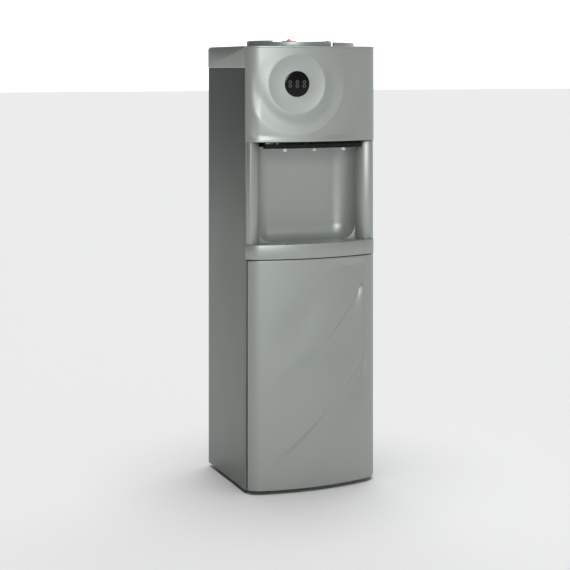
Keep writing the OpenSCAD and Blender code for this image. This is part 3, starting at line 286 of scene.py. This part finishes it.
def tidy_mesh(piece: bpy.types.Object, turn_out: bool = True) -> bpy.types.Object:
    """Merges doubles, joins flat neighbours and turns the faces outwards.

    Known fault: where a flat ring round an opening is joined here, round_edges leaves a face that is cut
    into triangles across the opening. This happens in the copies of front_frame and door_gasket.

    Args:
        piece: A mesh object.
        turn_out: Whether the normals are worked out again.

    Returns:
        The same object.
    """
    work = bmesh.new()
    work.from_mesh(piece.data)
    bmesh.ops.remove_doubles(work, verts=work.verts, dist=WELD)
    bmesh.ops.dissolve_limit(work, angle_limit=FLAT_ANGLE, verts=work.verts, edges=work.edges)
    if turn_out:
        bmesh.ops.recalc_face_normals(work, faces=work.faces)
    work.to_mesh(piece.data)
    work.free()
    return piece


def round_edges(piece: bpy.types.Object, width: float, segments: int = 2,
                angle: float = 35.0) -> bpy.types.Object:
    """Rounds a piece's sharp edges.

    Args:
        piece: A mesh object.
        width: Width of the rounding, in millimetres.
        segments: Steps of the rounding.
        angle: Smallest angle of an edge that is rounded, in degrees.

    Returns:
        The same object, as plain mesh.
    """
    rounding = piece.modifiers.new("rounding", "BEVEL")
    rounding.width = width * MM
    rounding.segments = segments
    rounding.limit_method = "ANGLE"
    rounding.angle_limit = math.radians(angle)
    rounding.use_clamp_overlap = True
    rounding.miter_outer = "MITER_ARC"
    return applied(piece)


def finished(piece: bpy.types.Object, finish: Finish, body: str, replaced: Iterable[str] = (),
             angle: float = 38.0) -> bpy.types.Object:
    """Dresses a piece and hangs it on its body.

    Args:
        piece: A mesh object in place.
        finish: Its finish.
        body: Name of the body that it rides on.
        replaced: Nodes that it stands for.
        angle: Angle past which an edge stays sharp, in degrees.

    Returns:
        The same object.
    """
    piece.data.materials.clear()
    piece.data.materials.append(finish.material())
    piece.data.polygons.foreach_set("material_index", [0] * len(piece.data.polygons))
    piece.data.shade_smooth()
    piece.data.set_sharp_from_angle(angle=math.radians(angle))
    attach(piece, body)
    for name in replaced:
        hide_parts(name)
    LOG.info("%s on %s: %d faces", piece.name, body, len(piece.data.polygons))
    return piece


def turned(name: str, profile: list[tuple[float, float]], steps: int = 64,
           closed: bool = False) -> bpy.types.Object:
    """Turns a profile about the Z axis.

    Args:
        name: Name of the object.
        profile: Radii and heights, in millimetres; a radius of 0 ends in a pole.
        steps: Steps round the axis.
        closed: Whether the profile is a ring that meets itself.

    Returns:
        The object, with its normals outwards.
    """
    verts: list[Point] = []
    for r, z in profile:
        for k in range(steps):
            a = 2 * math.pi * k / steps
            verts.append((r * math.cos(a), r * math.sin(a), z))
    rows = len(profile)
    faces = []
    for i in range(rows if closed else rows - 1):
        here, above = i * steps, ((i + 1) % rows) * steps
        for k in range(steps):
            after = (k + 1) % steps
            faces.append((here + k, here + after, above + after, above + k))
    piece = mesh_object(name, verts, faces)
    work = bmesh.new()
    work.from_mesh(piece.data)
    bmesh.ops.remove_doubles(work, verts=work.verts, dist=TURNED_WELD)
    bmesh.ops.recalc_face_normals(work, faces=work.faces)
    work.to_mesh(piece.data)
    work.free()
    return piece


def block(name: str, low: Point, high: Point) -> bpy.types.Object:
    """Makes a box between two corners, in millimetres."""
    xs, ys, zs = zip(low, high)
    verts = [(x, y, z) for x in xs for y in ys for z in zs]
    faces = [(0, 1, 3, 2), (4, 6, 7, 5), (0, 4, 5, 1), (2, 3, 7, 6), (0, 2, 6, 4), (1, 5, 7, 3)]
    return mesh_object(name, verts, faces)


def moved(piece: bpy.types.Object, matrix: Matrix) -> bpy.types.Object:
    """Moves a piece's mesh by a matrix in metres."""
    piece.data.transform(matrix)
    return piece


def shift(x: float, y: float, z: float) -> Matrix:
    """Gives a move, in millimetres."""
    return Matrix.Translation((x * MM, y * MM, z * MM))


def joined(name: str, pieces: list[bpy.types.Object]) -> bpy.types.Object:
    """Joins pieces into one object.

    Args:
        name: Name of the result.
        pieces: Mesh objects; they are used up.

    Returns:
        The joined object.
    """
    work = bmesh.new()
    for piece in pieces:
        work.from_mesh(piece.data)
        bpy.data.objects.remove(piece)
    mesh = bpy.data.meshes.new(name)
    work.to_mesh(mesh)
    work.free()
    made = bpy.data.objects.new(name, mesh)
    bpy.context.scene.collection.objects.link(made)
    return made


class NodeTree:
    """A Geometry Nodes tree with named inputs."""

    def __init__(self, name: str, inputs: dict[str, tuple[str, object]]) -> None:
        """Starts the tree.

        Args:
            name: Name of the tree.
            inputs: Name of each input, with its socket type and default value.
        """
        self.tree = bpy.data.node_groups.new(name, "GeometryNodeTree")
        self.tree.interface.new_socket("Shape", in_out="INPUT", socket_type="NodeSocketGeometry")
        for label, (kind, value) in inputs.items():
            socket = self.tree.interface.new_socket(label, in_out="INPUT", socket_type=kind)
            if value is not None:
                socket.default_value = value
        self.tree.interface.new_socket("Result", in_out="OUTPUT", socket_type="NodeSocketGeometry")
        self.source = self.tree.nodes.new("NodeGroupInput")
        self.sink = self.tree.nodes.new("NodeGroupOutput")

    def add(self, kind: str, links: dict[str, bpy.types.NodeSocket] | None = None,
            **settings: object) -> bpy.types.Node:
        """Adds a node.

        Args:
            kind: Type of the node.
            links: Outputs that feed the node's inputs, by name.
            **settings: Properties of the node.

        Returns:
            The node.
        """
        node = self.tree.nodes.new(kind)
        for key, value in settings.items():
            setattr(node, key, value)
        for label, output in (links or {}).items():
            self.tree.links.new(output, node.inputs[label])
        return node

    def close(self, geometry: bpy.types.NodeSocket) -> None:
        """Realizes the geometry, gives it the finish and ends the tree.

        Args:
            geometry: Output that holds the instances.
        """
        real = self.add("GeometryNodeRealizeInstances", {"Geometry": geometry})
        dressed = self.add("GeometryNodeSetMaterial",
                           {"Geometry": real.outputs[0], "Material": self.source.outputs["Finish"]})
        self.tree.links.new(dressed.outputs[0], self.sink.inputs[0])

    def grow(self, shape: bpy.types.Object, **values: object) -> bpy.types.Object:
        """Runs the tree on a shape.

        Args:
            shape: The shape that is repeated; it becomes the result.
            **values: Values of the inputs; underscores stand for spaces.

        Returns:
            The same object, as plain mesh.
        """
        modifier = shape.modifiers.new(self.tree.name, "NODES")
        modifier.node_group = self.tree
        known = {i.name: i.identifier for i in self.tree.interface.items_tree if i.in_out == "INPUT"}
        for label, value in values.items():
            modifier[known[label.replace("_", " ")]] = value
        return applied(shape)


def field_tree() -> NodeTree:
    """Builds the tree that sets a shape out in rows and columns.

    Returns:
        The tree, with Count, Step, Rows, Row Step, Turn, Seed and Finish.
    """
    made = NodeTree("field", {
        "Count": ("NodeSocketInt", 2), "Step": ("NodeSocketVector", (0.1, 0, 0)),
        "Rows": ("NodeSocketInt", 1),
        "Row Step": ("NodeSocketVector", (0, 0, 0.1)), "Turn": ("NodeSocketVector", (0, 0, 0)),
        "Seed": ("NodeSocketInt", 7), "Finish": ("NodeSocketMaterial", None),
    })
    out = made.source.outputs
    negative = made.add("ShaderNodeVectorMath", {"Vector": out["Turn"]}, operation="SCALE")
    negative.inputs["Scale"].default_value = -1.0
    chance = made.add("FunctionNodeRandomValue", {"Seed": out["Seed"]}, data_type="FLOAT_VECTOR")
    made.tree.links.new(negative.outputs[0], chance.inputs["Min"])
    made.tree.links.new(out["Turn"], chance.inputs["Max"])
    line = made.add("GeometryNodeMeshLine", {"Count": out["Count"], "Offset": out["Step"]})
    row = made.add("GeometryNodeInstanceOnPoints",
                   {"Points": line.outputs[0], "Instance": out["Shape"], "Rotation": chance.outputs[0]})
    down = made.add("GeometryNodeMeshLine", {"Count": out["Rows"], "Offset": out["Row Step"]})
    whole = made.add("GeometryNodeInstanceOnPoints", {"Points": down.outputs[0], "Instance": row.outputs[0]})
    made.close(whole.outputs[0])
    return made


def ring_tree() -> NodeTree:
    """Builds the tree that sets a shape out on a circle, each turned to face outwards.

    Returns:
        The tree, with Count, Radius and Finish.
    """
    made = NodeTree("ring", {"Count": ("NodeSocketInt", 12), "Radius": ("NodeSocketFloat", 0.01),
                             "Finish": ("NodeSocketMaterial", None)})
    out = made.source.outputs
    circle = made.add("GeometryNodeMeshCircle", {"Vertices": out["Count"], "Radius": out["Radius"]})
    place = made.add("GeometryNodeInputPosition")
    split = made.add("ShaderNodeSeparateXYZ", {"Vector": place.outputs[0]})
    angle = made.add("ShaderNodeMath", operation="ARCTAN2")
    made.tree.links.new(split.outputs["Y"], angle.inputs[0])
    made.tree.links.new(split.outputs["X"], angle.inputs[1])
    turn = made.add("ShaderNodeCombineXYZ", {"Z": angle.outputs[0]})
    ring = made.add("GeometryNodeInstanceOnPoints",
                    {"Points": circle.outputs[0], "Instance": out["Shape"], "Rotation": turn.outputs[0]})
    made.close(ring.outputs[0])
    return made


@dataclass(frozen=True)
class FrontOutline:
    """Plan of the bowed front, in millimetres: a wide bow between two corner arcs."""

    half_width: float = 154.5
    front: float = -150.0
    bow: float = 40.5
    corner_radius: float = 45.0
    corner_set: float = 19.0

    @property
    def seam(self) -> float:
        """Depth of the seam with the side panels."""
        return self.front + self.bow

    @property
    def corner(self) -> tuple[float, float]:
        """Centre of the right corner's arc."""
        across = math.sqrt(self.corner_radius ** 2 - self.corner_set ** 2)
        return self.half_width - across, self.seam + self.corner_set

    @property
    def bow_radius(self) -> float:
        """Radius of the bow."""
        fall = self.bow + self.corner_set
        return (fall ** 2 + self.corner[0] ** 2 - self.corner_radius ** 2) / (2 * (fall - self.corner_radius))

    @property
    def bow_centre(self) -> float:
        """Depth of the bow's centre."""
        return self.front + self.bow_radius

    def columns(self, inset: float, end: float, corner_steps: int, bow_steps: int) -> np.ndarray:
        """Gives the rays along the outline, from left to right.

        Args:
            inset: How far inside the outline the surface lies.
            end: Depth at which the corners end.
            corner_steps: Steps along each corner.
            bow_steps: Steps along the bow.

        Returns:
            Rows of centre x, centre y, direction x, direction y and radius.
        """
        cx, cy = self.corner
        start = math.pi + math.asin((cy - end) / (self.corner_radius - inset))
        tangent = math.pi + math.acos(cx / (self.bow_radius - self.corner_radius))
        rays = []
        for i in range(corner_steps):
            a = start + (tangent - start) * i / corner_steps
            rays.append((-cx, cy, math.cos(a), math.sin(a), self.corner_radius - inset))
        for i in range(bow_steps + 1):
            a = tangent + (3 * math.pi - 2 * tangent) * i / bow_steps
            rays.append((0.0, self.bow_centre, math.cos(a), math.sin(a), self.bow_radius - inset))
        for i in range(corner_steps):
            mirror = rays[corner_steps - 1 - i]
            rays.append((-mirror[0], mirror[1], -mirror[2], mirror[3], mirror[4]))
        return np.array(rays)

    def on_bow(self, x: float, z: float) -> Matrix:
        """Gives the place on the bow over x, with +Y running inwards square to the surface.

        Args:
            x: Distance right of the middle.
            z: Height.

        Returns:
            The matrix, in metres.
        """
        turn = Matrix.Rotation(math.asin(x / self.bow_radius), 4, "Z")
        return shift(0, self.bow_centre, z) @ turn @ shift(0, -self.bow_radius, 0)


@dataclass
class PressedSkin:
    """A thin cover of even thickness along the front's outline, pressed in by a relief."""

    outline: FrontOutline
    inset: float
    end: float
    low: float
    high: float
    relief: Relief
    rows: int = 150
    corner_steps: int = 16
    bow_steps: int = 150
    thickness: float = 2.5

    def build(self, name: str) -> bpy.types.Object:
        """Makes the cover.

        Args:
            name: Name of the object.

        Returns:
            The object.
        """
        rays = self.outline.columns(self.inset, self.end, self.corner_steps, self.bow_steps)
        heights = np.linspace(self.low, self.high, self.rows + 1)
        base_x = rays[:, 0] + rays[:, 4] * rays[:, 2]
        xs, zs = np.meshgrid(base_x, heights)
        drop = self.relief(xs, zs)
        px = rays[:, 0] + (rays[:, 4] - drop) * rays[:, 2]
        py = rays[:, 1] + (rays[:, 4] - drop) * rays[:, 3]
        verts = np.stack([px, py, zs], axis=-1).reshape(-1, 3)
        wide = len(rays)
        faces = [(j * wide + i, j * wide + i + 1, (j + 1) * wide + i + 1, (j + 1) * wide + i)
                 for j in range(self.rows) for i in range(wide - 1)]
        piece = mesh_object(name, verts.tolist(), faces)
        wall = piece.modifiers.new("wall", "SOLIDIFY")
        wall.thickness = self.thickness * MM
        wall.offset = -1.0
        wall.use_even_offset = True
        return applied(piece)


@dataclass
class Head:
    """Head of the dispenser: rippled cover, control disc and its indicators."""

    outline: FrontOutline
    low: float = 757.0
    high: float = 960.0
    disc: tuple[float, float] = (-47.0, 882.0)
    disc_radius: float = 28.0
    rims: tuple[float, float, float] = (64.0, 110.0, 180.0)
    depths: tuple[float, float, float] = (4.0, 4.4, 3.0)
    disc_sink: float = 3.6
    disc_gap: float = 0.2
    drill_reach: float = 9.0
    light_radius: float = 3.1
    light_start: tuple[float, float] = (-16.0, -4.2)
    light_step: tuple[float, float] = (16.0, 8.4)

    def relief(self, x: np.ndarray, z: np.ndarray) -> np.ndarray:
        """Depth pressed into the head: a bowl round the disc and two swells that rise to their rims.

        Args:
            x: Distances right of the middle.
            z: Heights.

        Returns:
            Depths, in millimetres.
        """
        r = np.hypot(x - self.disc[0], z - self.disc[1])
        low = smooth_step((self.disc[1] + 55 - z) / 90)
        ends = smooth_step((self.outline.half_width - 4 - np.abs(x)) / 14)
        edges = smooth_step((z - self.low - 3) / 12) * smooth_step((self.high - 3 - z) / 10)
        across = np.maximum(r - self.disc_radius, 0) / (self.rims[0] - self.disc_radius)
        depth = np.where(r < self.rims[0], self.depths[0] * (1 - across ** 2), 0)
        for core, rim, deep in zip(self.rims[:2], self.rims[1:], self.depths[1:]):
            u = (r - core) / (rim - core)
            depth += np.where((r >= core) & (r < rim), low * deep * (1 - u * u) * smooth_step(u / 0.6), 0)
        return ends * edges * depth

    def build(self, field_of: NodeTree) -> None:
        """Makes and dresses the head's pieces.

        Args:
            field_of: Tree that sets shapes out in rows.
        """
        cover = PressedSkin(self.outline, 0.0, self.outline.seam, self.low, self.high, self.relief,
                            rows=156, corner_steps=14, bow_steps=170).build("head_shell")
        place = self.outline.on_bow(*self.disc)
        upright = Matrix.Rotation(-math.pi / 2, 4, "X")
        hole = self.disc_radius + self.disc_gap
        drill = turned("drill", [(0, -self.drill_reach), (hole, -self.drill_reach),
                                 (hole, self.drill_reach), (0, self.drill_reach)], 96)
        moved(drill, place @ upright)
        cut = cover.modifiers.new("hole", "BOOLEAN")
        cut.object = drill
        cut.operation = "DIFFERENCE"
        cut.solver = "EXACT"
        applied(cover)
        bpy.data.objects.remove(drill)
        finished(round_edges(cover, 0.7, 2, 60), SILVER, Body.CABINET.value, ["head_cover"], 50)
        s, r = self.disc_sink, self.disc_radius
        profile = [(0, s), (r - 3, s), (r - 1.6, s + 0.15), (r - 0.5, s + 0.6), (r, s + 1.6), (r, s + 6),
                   (r - 4, s + 6), (r - 4, s + 10), (0, s + 10)]
        disc = turned("control_face", profile, 128)
        finished(moved(disc, place @ upright), GLOSS_BLACK, Body.CABINET.value, ["control_disc"], 30)
        tube = [(self.light_radius + 0.32 * math.cos(a), s - 0.1 + 0.15 * math.sin(a))
                for a in np.linspace(0, 2 * math.pi, 12, endpoint=False)]
        ring = turned("indicator_lights", tube, 40, closed=True)
        moved(ring, shift(*self.light_start, 0))
        field_of.grow(ring, Count=3, Step=(self.light_step[0] * MM, 0, 0), Rows=2,
                      Row_Step=(0, self.light_step[1] * MM, 0), Finish=LIGHT.material())
        finished(moved(ring, place @ upright), LIGHT, Body.CABINET.value, ["indicator_rings"])


@dataclass
class Door:
    """Door with two pressed lobes."""

    outline: FrontOutline
    low: float = 8.0
    high: float = 502.0
    inset: float = 2.4
    rim: float = -113.0
    depth: float = 6.0
    centres: tuple[tuple[float, float], ...] = ((-300.0, 696.0), (-763.0, 969.0))
    radii: tuple[float, float] = (486.0, 1116.0)
    valley_width: float = 95.0
    right_limit: float = 116.0

    def relief(self, x: np.ndarray, z: np.ndarray) -> np.ndarray:
        """Depth pressed into the door: two lobes that rise to a crest and drop past it.

        Args:
            x: Distances right of the middle.
            z: Heights.

        Returns:
            Depths, in millimetres.
        """
        q1 = np.hypot(x - self.centres[0][0], z - self.centres[0][1]) - self.radii[0]
        q2 = np.maximum(np.hypot(x - self.centres[1][0], z - self.centres[1][1]) - self.radii[1],
                        x - self.right_limit)
        edge = smooth_step((self.high - 5 - z) / 14) * smooth_step((z - self.low - 6) / 30)
        side = smooth_step((x + 115) / 100) * smooth_step((132 - x) / 14)
        t = -q1 / self.valley_width
        valley = np.where(t < 0.8, smooth_step(t / 0.8), 1 - smooth_step((t - 0.8) / 0.45))
        upper = np.where(q1 < 0, valley, 0)
        span = np.maximum(q1 - q2, 1e-6)
        between = np.where((q1 >= 0) & (q2 < 0), self.fall(q1 / span), 0)
        below = np.where((q1 >= 0) & (q2 >= 0), 0.7 * self.fall(q2 / 70), 0)
        return self.depth * edge * side * np.maximum(upper, np.maximum(between, below))

    @staticmethod
    def fall(t: np.ndarray) -> np.ndarray:
        """Drops quickly past a crest and comes back slowly."""
        return smooth_step(t / 0.16) * (1 - smooth_step((t - 0.16) / 0.84))

    def build(self) -> None:
        """Makes and dresses the door's skin."""
        skin = PressedSkin(self.outline, self.inset, self.rim, self.low, self.high, self.relief,
                           rows=190, corner_steps=14, bow_steps=140).build("door_skin")
        finished(round_edges(skin, 0.8, 2, 60), SILVER, Body.DOOR.value, ["door_panel"], 50)


@dataclass
class DressedNodes:
    """Solids that keep their shape and get rounded edges and a finish."""

    frame: dict
    rounding: dict[str, float] = field(default_factory=lambda: {
        "left_side_panel": 0.3, "right_side_panel": 0.3, "base_pan": 0.4, "back_cover": 0.4,
        "front_frame": 0.6, "cupboard_liner": 0.5, "hinge_brackets": 0.4, "strike_plate": 0.4,
        "door_liner": 0.5, "door_gasket": 0.6, "door_magnet": 0.5, "drip_tray": 0.9, "drip_cover": 0.6,
        "alcove_panel": 0.8, "key_bar": 0.6, "key_hot": 0.35, "key_room": 0.35, "key_cold": 0.35,
        "tap_hot": 0.4, "tap_room": 0.4, "tap_cold": 0.4, "tap_plate": 0.4, "top_cover": 1.6,
        "bottle_seat": 0.8, "cold_tank_foam": 1.5, "hot_tank_jacket": 1.5, "tank_shelf": 0.4,
        "boiler_shelf": 0.4, "compressor": 0.8, "switch_housing": 0.5, "rocker_hot": 0.4,
        "rocker_cold": 0.4, "drain_cap": 0.4, "cord_gland": 0.4, "control_board": 0.2,
        "condenser_clips": 0.4, "probe_cap": 0.8, "seat_probe": 0.4,
    })

    def build(self) -> None:
        """Dresses every node that nothing else stands for."""
        slots = {s["node"]: s["material_slot"] for s in self.frame["record"]["subparts"]}
        for name, node in sorted(self.frame["nodes"].items()):
            if node.hide_render:
                continue
            finish = FINISHES[slots[name]]
            if name in self.rounding:
                self.dress_copy(name, node, finish, self.rounding[name])
            else:
                for held in node.material_slots:
                    held.material = finish.material()
                node.data.shade_smooth()
                node.data.set_sharp_from_angle(angle=NODE_SHARP)
                LOG.info("%s keeps its mesh", name)

    def dress_copy(self, name: str, node: bpy.types.Object, finish: Finish, width: float) -> None:
        """Makes a rounded copy of a node that stands for it.

        Args:
            name: Name of the node.
            node: Its object.
            finish: Its finish.
            width: Width of the rounding, in millimetres.
        """
        copy = bpy.data.objects.new(name + "_body", node.data.copy())
        bpy.context.scene.collection.objects.link(copy)
        tidy_mesh(copy, turn_out=False)
        round_edges(copy, width)
        finished(copy, finish, node["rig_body"], [name])


@dataclass
class RearFittings:
    """Screws, louvre hoods and wires of the back, and the ribbed feet."""

    field_of: NodeTree
    ring_of: NodeTree
    cover: float = 124.7
    screw_x: float = 141.5
    screw_low: float = 60.0
    screw_high: float = 888.0
    screw_count: int = 5
    hood_reach: float = 3.2
    hood_wall: float = 0.6
    hoods: tuple[tuple[str, float, float, float, int, float, float], ...] = (
        ("lower_louvres", -55, 55, 56, 8, 16, 5.0),
        ("upper_louvres", -120, -30, 855, 5, 13, 4.2),
    )
    wire_low: float = 236.0
    wire_high: float = 780.0
    wire_half: float = 112.0
    wire_count: int = 19
    wire_radius: float = 0.8
    wire_faces: tuple[float, float] = (142.70, 149.20)
    foot_places: tuple[float, float, float, float] = (-120.5, -84.5, 120.5, 95.5)
    foot_radius: float = 14.0
    foot_height: float = 8.0
    foot_ribs: int = 36

    def screws(self) -> None:
        """Makes the back cover's pan-head screws, each turned by chance."""
        dome = [(0, 2.0), (1.4, 1.95), (2.4, 1.6), (3.1, 1.0), (3.5, 0.35), (3.5, 0), (0, 0)]
        head = turned("rear_screws", dome, 32)
        for along, across in ((2.2, 0.45), (0.45, 2.2)):
            bit = block("bit", (-along, -across, 0.9), (along, across, 3))
            cut = head.modifiers.new("cross", "BOOLEAN")
            cut.object = bit
            cut.solver = "EXACT"
            applied(head)
            bpy.data.objects.remove(bit)
        moved(head, Matrix.Rotation(-math.pi / 2, 4, "X"))
        step = (self.screw_high - self.screw_low) / (self.screw_count - 1)
        self.field_of.grow(head, Count=self.screw_count, Step=(0, 0, step * MM), Rows=2,
                           Row_Step=(2 * self.screw_x * MM, 0, 0), Turn=(0, math.pi / 2, 0),
                           Finish=ZINC.material())
        moved(head, shift(-self.screw_x, self.cover, self.screw_low))
        finished(head, ZINC, Body.CABINET.value, ["cover_screws"])

    @staticmethod
    def prism(n: int) -> list[tuple[int, ...]]:
        """Gives the faces of a prism whose two ends are rings of n points, one after the other."""
        sides = [(i, (i + 1) % n, n + (i + 1) % n, n + i) for i in range(n)]
        return sides + [tuple(range(n))[::-1], tuple(range(n, 2 * n))]

    def louvres(self) -> None:
        """Makes the pressed hoods over the back cover's slots."""
        thin = self.hood_wall
        for name, x0, x1, z0, count, step, high in self.hoods:
            arc = [(self.hood_reach * math.cos(a), high * math.sin(a))
                   for a in np.linspace(0, math.pi / 2, 7)]
            inner = [(max(0.0, y - thin), max(0.0, z - thin)) for y, z in reversed(arc)]
            section = arc + inner
            verts = [(x, y, z) for x in (x0, x1) for y, z in section]
            hood = mesh_object(name, verts, self.prism(len(section)))
            cheeks = []
            for x in (x0, x1 - thin):
                fan = [(x, 0, 0)] + [(x, y, z) for y, z in arc]
                back = [(x + thin, p[1], p[2]) for p in fan]
                cheeks.append(mesh_object("cheek", fan + back, self.prism(len(fan))))
            hood = joined(name, [hood, *cheeks])
            tidy_mesh(hood)
            self.field_of.grow(hood, Count=count, Step=(0, 0, step * MM), Finish=ENAMEL.material())
            finished(moved(hood, shift(0, self.cover - 0.05, z0)), ENAMEL, Body.CABINET.value)

    def wires(self) -> None:
        """Makes the condenser's two faces of wires."""
        r, length = self.wire_radius, self.wire_high - self.wire_low
        profile = [(0, 0), (0.6 * r, 0), (r, 0.4 * r), (r, length - 0.4 * r), (0.6 * r, length), (0, length)]
        wire = turned("condenser_grid", profile, 12)
        step = 2 * self.wire_half / (self.wire_count + 1)
        apart = self.wire_faces[1] - self.wire_faces[0]
        self.field_of.grow(wire, Count=self.wire_count, Step=(step * MM, 0, 0), Rows=2,
                           Row_Step=(0, apart * MM, 0), Finish=ENAMEL.material())
        moved(wire, shift(step - self.wire_half, self.wire_faces[0], self.wire_low))
        finished(wire, ENAMEL, Body.CABINET.value, ["condenser_wires"])

    def feet(self) -> None:
        """Makes the four ribbed rubber feet."""
        r, h = self.foot_radius, self.foot_height
        profile = [(0, 0), (r - 2.2, 0), (r - 1.6, 0.4), (r - 1.2, 1.2), (r - 1.2, h), (0, h)]
        core = turned("foot_core", profile, 64)
        rib = block("rib", (-1.3, -0.5, 0.8), (0.0, 0.5, h))
        self.ring_of.grow(rib, Count=self.foot_ribs, Radius=r * MM, Finish=RUBBER.material())
        foot = joined("ribbed_feet", [core, rib])
        x0, y0, x1, y1 = self.foot_places
        self.field_of.grow(foot, Count=2, Step=((x1 - x0) * MM, 0, 0), Rows=2,
                           Row_Step=(0, (y1 - y0) * MM, 0), Finish=RUBBER.material())
        finished(moved(foot, shift(x0, y0, 0)), RUBBER, Body.CABINET.value, ["feet"])

    def build(self) -> None:
        """Makes all the fittings."""
        self.screws()
        self.louvres()
        self.wires()
        self.feet()


@dataclass
class Studio:
    """Pale floor, soft lights and the camera; places and sizes of lamps and camera are in metres."""

    camera_place: Point = (-1.2391, -2.8853, 0.9182)
    view: tuple[float, float] = (0.3907, 0.9205)
    lens: float = 87.4
    lens_shift: float = -0.382
    world_left: float = 0.04
    world_right: float = 1.3
    world_front: float = 0.12
    paper_light: float = 2.1
    paper_half: float = 48000.0
    paper_drop: float = 0.2
    paper_grey: float = 0.85
    film_width: float = 36.0
    far_clip: float = 120.0
    lamps: tuple[tuple[str, Point, Point, float, float], ...] = (
        ("key", (-0.75, -3.1, 1.7), (0.0, -0.1, 0.55), 1.1, 56.0),
        ("high", (0.1, -1.9, 3.1), (0.0, -0.1, 0.4), 1.4, 16.0),
        ("right", (2.7, -0.8, 1.2), (0.1, -0.1, 0.6), 1.4, 2.5),
        ("top", (0.5, 0.3, 3.2), (0.1, 0.0, 0.8), 2.0, 26.0),
    )

    @functools.cached_property
    def paper_left_out(self) -> bpy.types.Collection:
        """Collection that keeps the floor out of the lamps' light."""
        return bpy.data.collections.new("paper_left_out")

    def floor(self) -> None:
        """Makes the pale floor, with an even light of its own."""
        h = self.paper_half
        floor = mesh_object("floor", [(-h, -h, 0), (h, -h, 0), (h, h, 0), (-h, h, 0)], [(0, 1, 2, 3)])
        moved(floor, shift(0, 0, -self.paper_drop))
        paper = bpy.data.materials.new("paper")
        paper.use_nodes = True
        shader = paper.node_tree.nodes["Principled BSDF"]
        shader.inputs["Base Color"].default_value = (*[self.paper_grey] * 3, 1)
        shader.inputs["Roughness"].default_value = 0.9
        floor.data.materials.append(paper)
        lit = bpy.data.collections.new("paper_only")
        lit.objects.link(floor)
        self.paper_left_out.objects.link(floor)
        self.paper_left_out.collection_objects[0].light_linking.link_state = "EXCLUDE"
        sun = bpy.data.lights.new("paper_light", "SUN")
        sun.energy = self.paper_light
        sun.angle = math.radians(40)
        holder = bpy.data.objects.new("paper_light", sun)
        bpy.context.scene.collection.objects.link(holder)
        holder.light_linking.receiver_collection = lit

    def surroundings(self) -> None:
        """Makes a world that is dim on the left, softer in front and white behind the dispenser."""
        world = bpy.context.scene.world or bpy.data.worlds.new("studio")
        bpy.context.scene.world = world
        world.use_nodes = True
        nodes, links = world.node_tree.nodes, world.node_tree.links
        sky = nodes["Background"]
        sky.inputs["Color"].default_value = (0.97, 0.98, 1.0, 1)
        split = nodes.new("ShaderNodeSeparateXYZ")
        links.new(nodes.new("ShaderNodeTexCoord").outputs["Generated"], split.inputs[0])
        across = self.ramp(nodes, (-0.3, 0.12), (self.world_left, self.world_right))
        links.new(split.outputs["X"], across.inputs["Value"])
        along = self.ramp(nodes, (0.1, 0.4), (self.world_front, 1.0))
        links.new(split.outputs["Y"], along.inputs["Value"])
        both = nodes.new("ShaderNodeMath")
        both.operation = "MULTIPLY"
        links.new(across.outputs["Result"], both.inputs[0])
        links.new(along.outputs["Result"], both.inputs[1])
        links.new(both.outputs[0], sky.inputs["Strength"])

    @staticmethod
    def ramp(nodes: bpy.types.Nodes, span: tuple[float, float],
             values: tuple[float, float]) -> bpy.types.Node:
        """Adds a node that eases from one value to another.

        Args:
            nodes: Nodes of the world.
            span: Inputs at which the change starts and ends.
            values: Outputs there.

        Returns:
            The node.
        """
        made = nodes.new("ShaderNodeMapRange")
        made.interpolation_type = "SMOOTHSTEP"
        for label, value in zip(("From Min", "From Max", "To Min", "To Max"), (*span, *values)):
            made.inputs[label].default_value = value
        return made

    def lights(self) -> None:
        """Makes the area lamps."""
        for name, place, aim, size, power in self.lamps:
            lamp = bpy.data.lights.new(name, "AREA")
            lamp.size = size
            lamp.energy = power
            holder = bpy.data.objects.new(name, lamp)
            holder.light_linking.receiver_collection = self.paper_left_out
            holder.location = place
            holder.rotation_euler = (Vector(aim) - Vector(place)).to_track_quat("-Z", "Y").to_euler()
            bpy.context.scene.collection.objects.link(holder)

    def camera(self) -> None:
        """Makes the level camera at the photo's angle."""
        camera = bpy.data.cameras.new("camera")
        camera.lens = self.lens
        camera.sensor_width = self.film_width
        camera.shift_y = self.lens_shift
        camera.clip_end = self.far_clip
        holder = bpy.data.objects.new("camera", camera)
        holder.location = self.camera_place
        holder.rotation_euler = (math.pi / 2, 0, -math.atan2(self.view[0], self.view[1]))
        bpy.context.scene.collection.objects.link(holder)
        bpy.context.scene.camera = holder
        bpy.context.scene.view_settings.view_transform = "Standard"

    def build(self) -> None:
        """Makes the floor, the world, the lights and the camera."""
        self.floor()
        self.surroundings()
        self.lights()
        self.camera()


def main(frame: dict) -> None:
    """Builds the dispenser's looks.
    """
    logging.basicConfig(level=logging.INFO, format="%(name)s: %(message)s")
    Studio().build()
    outline = FrontOutline()
    field_of, ring_of = field_tree(), ring_tree()
    Head(outline).build(field_of)
    Door(outline).build()
    RearFittings(field_of, ring_of).build()
    DressedNodes(frame).build()


if __name__ == "__main__":
    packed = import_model()
    main(packed)
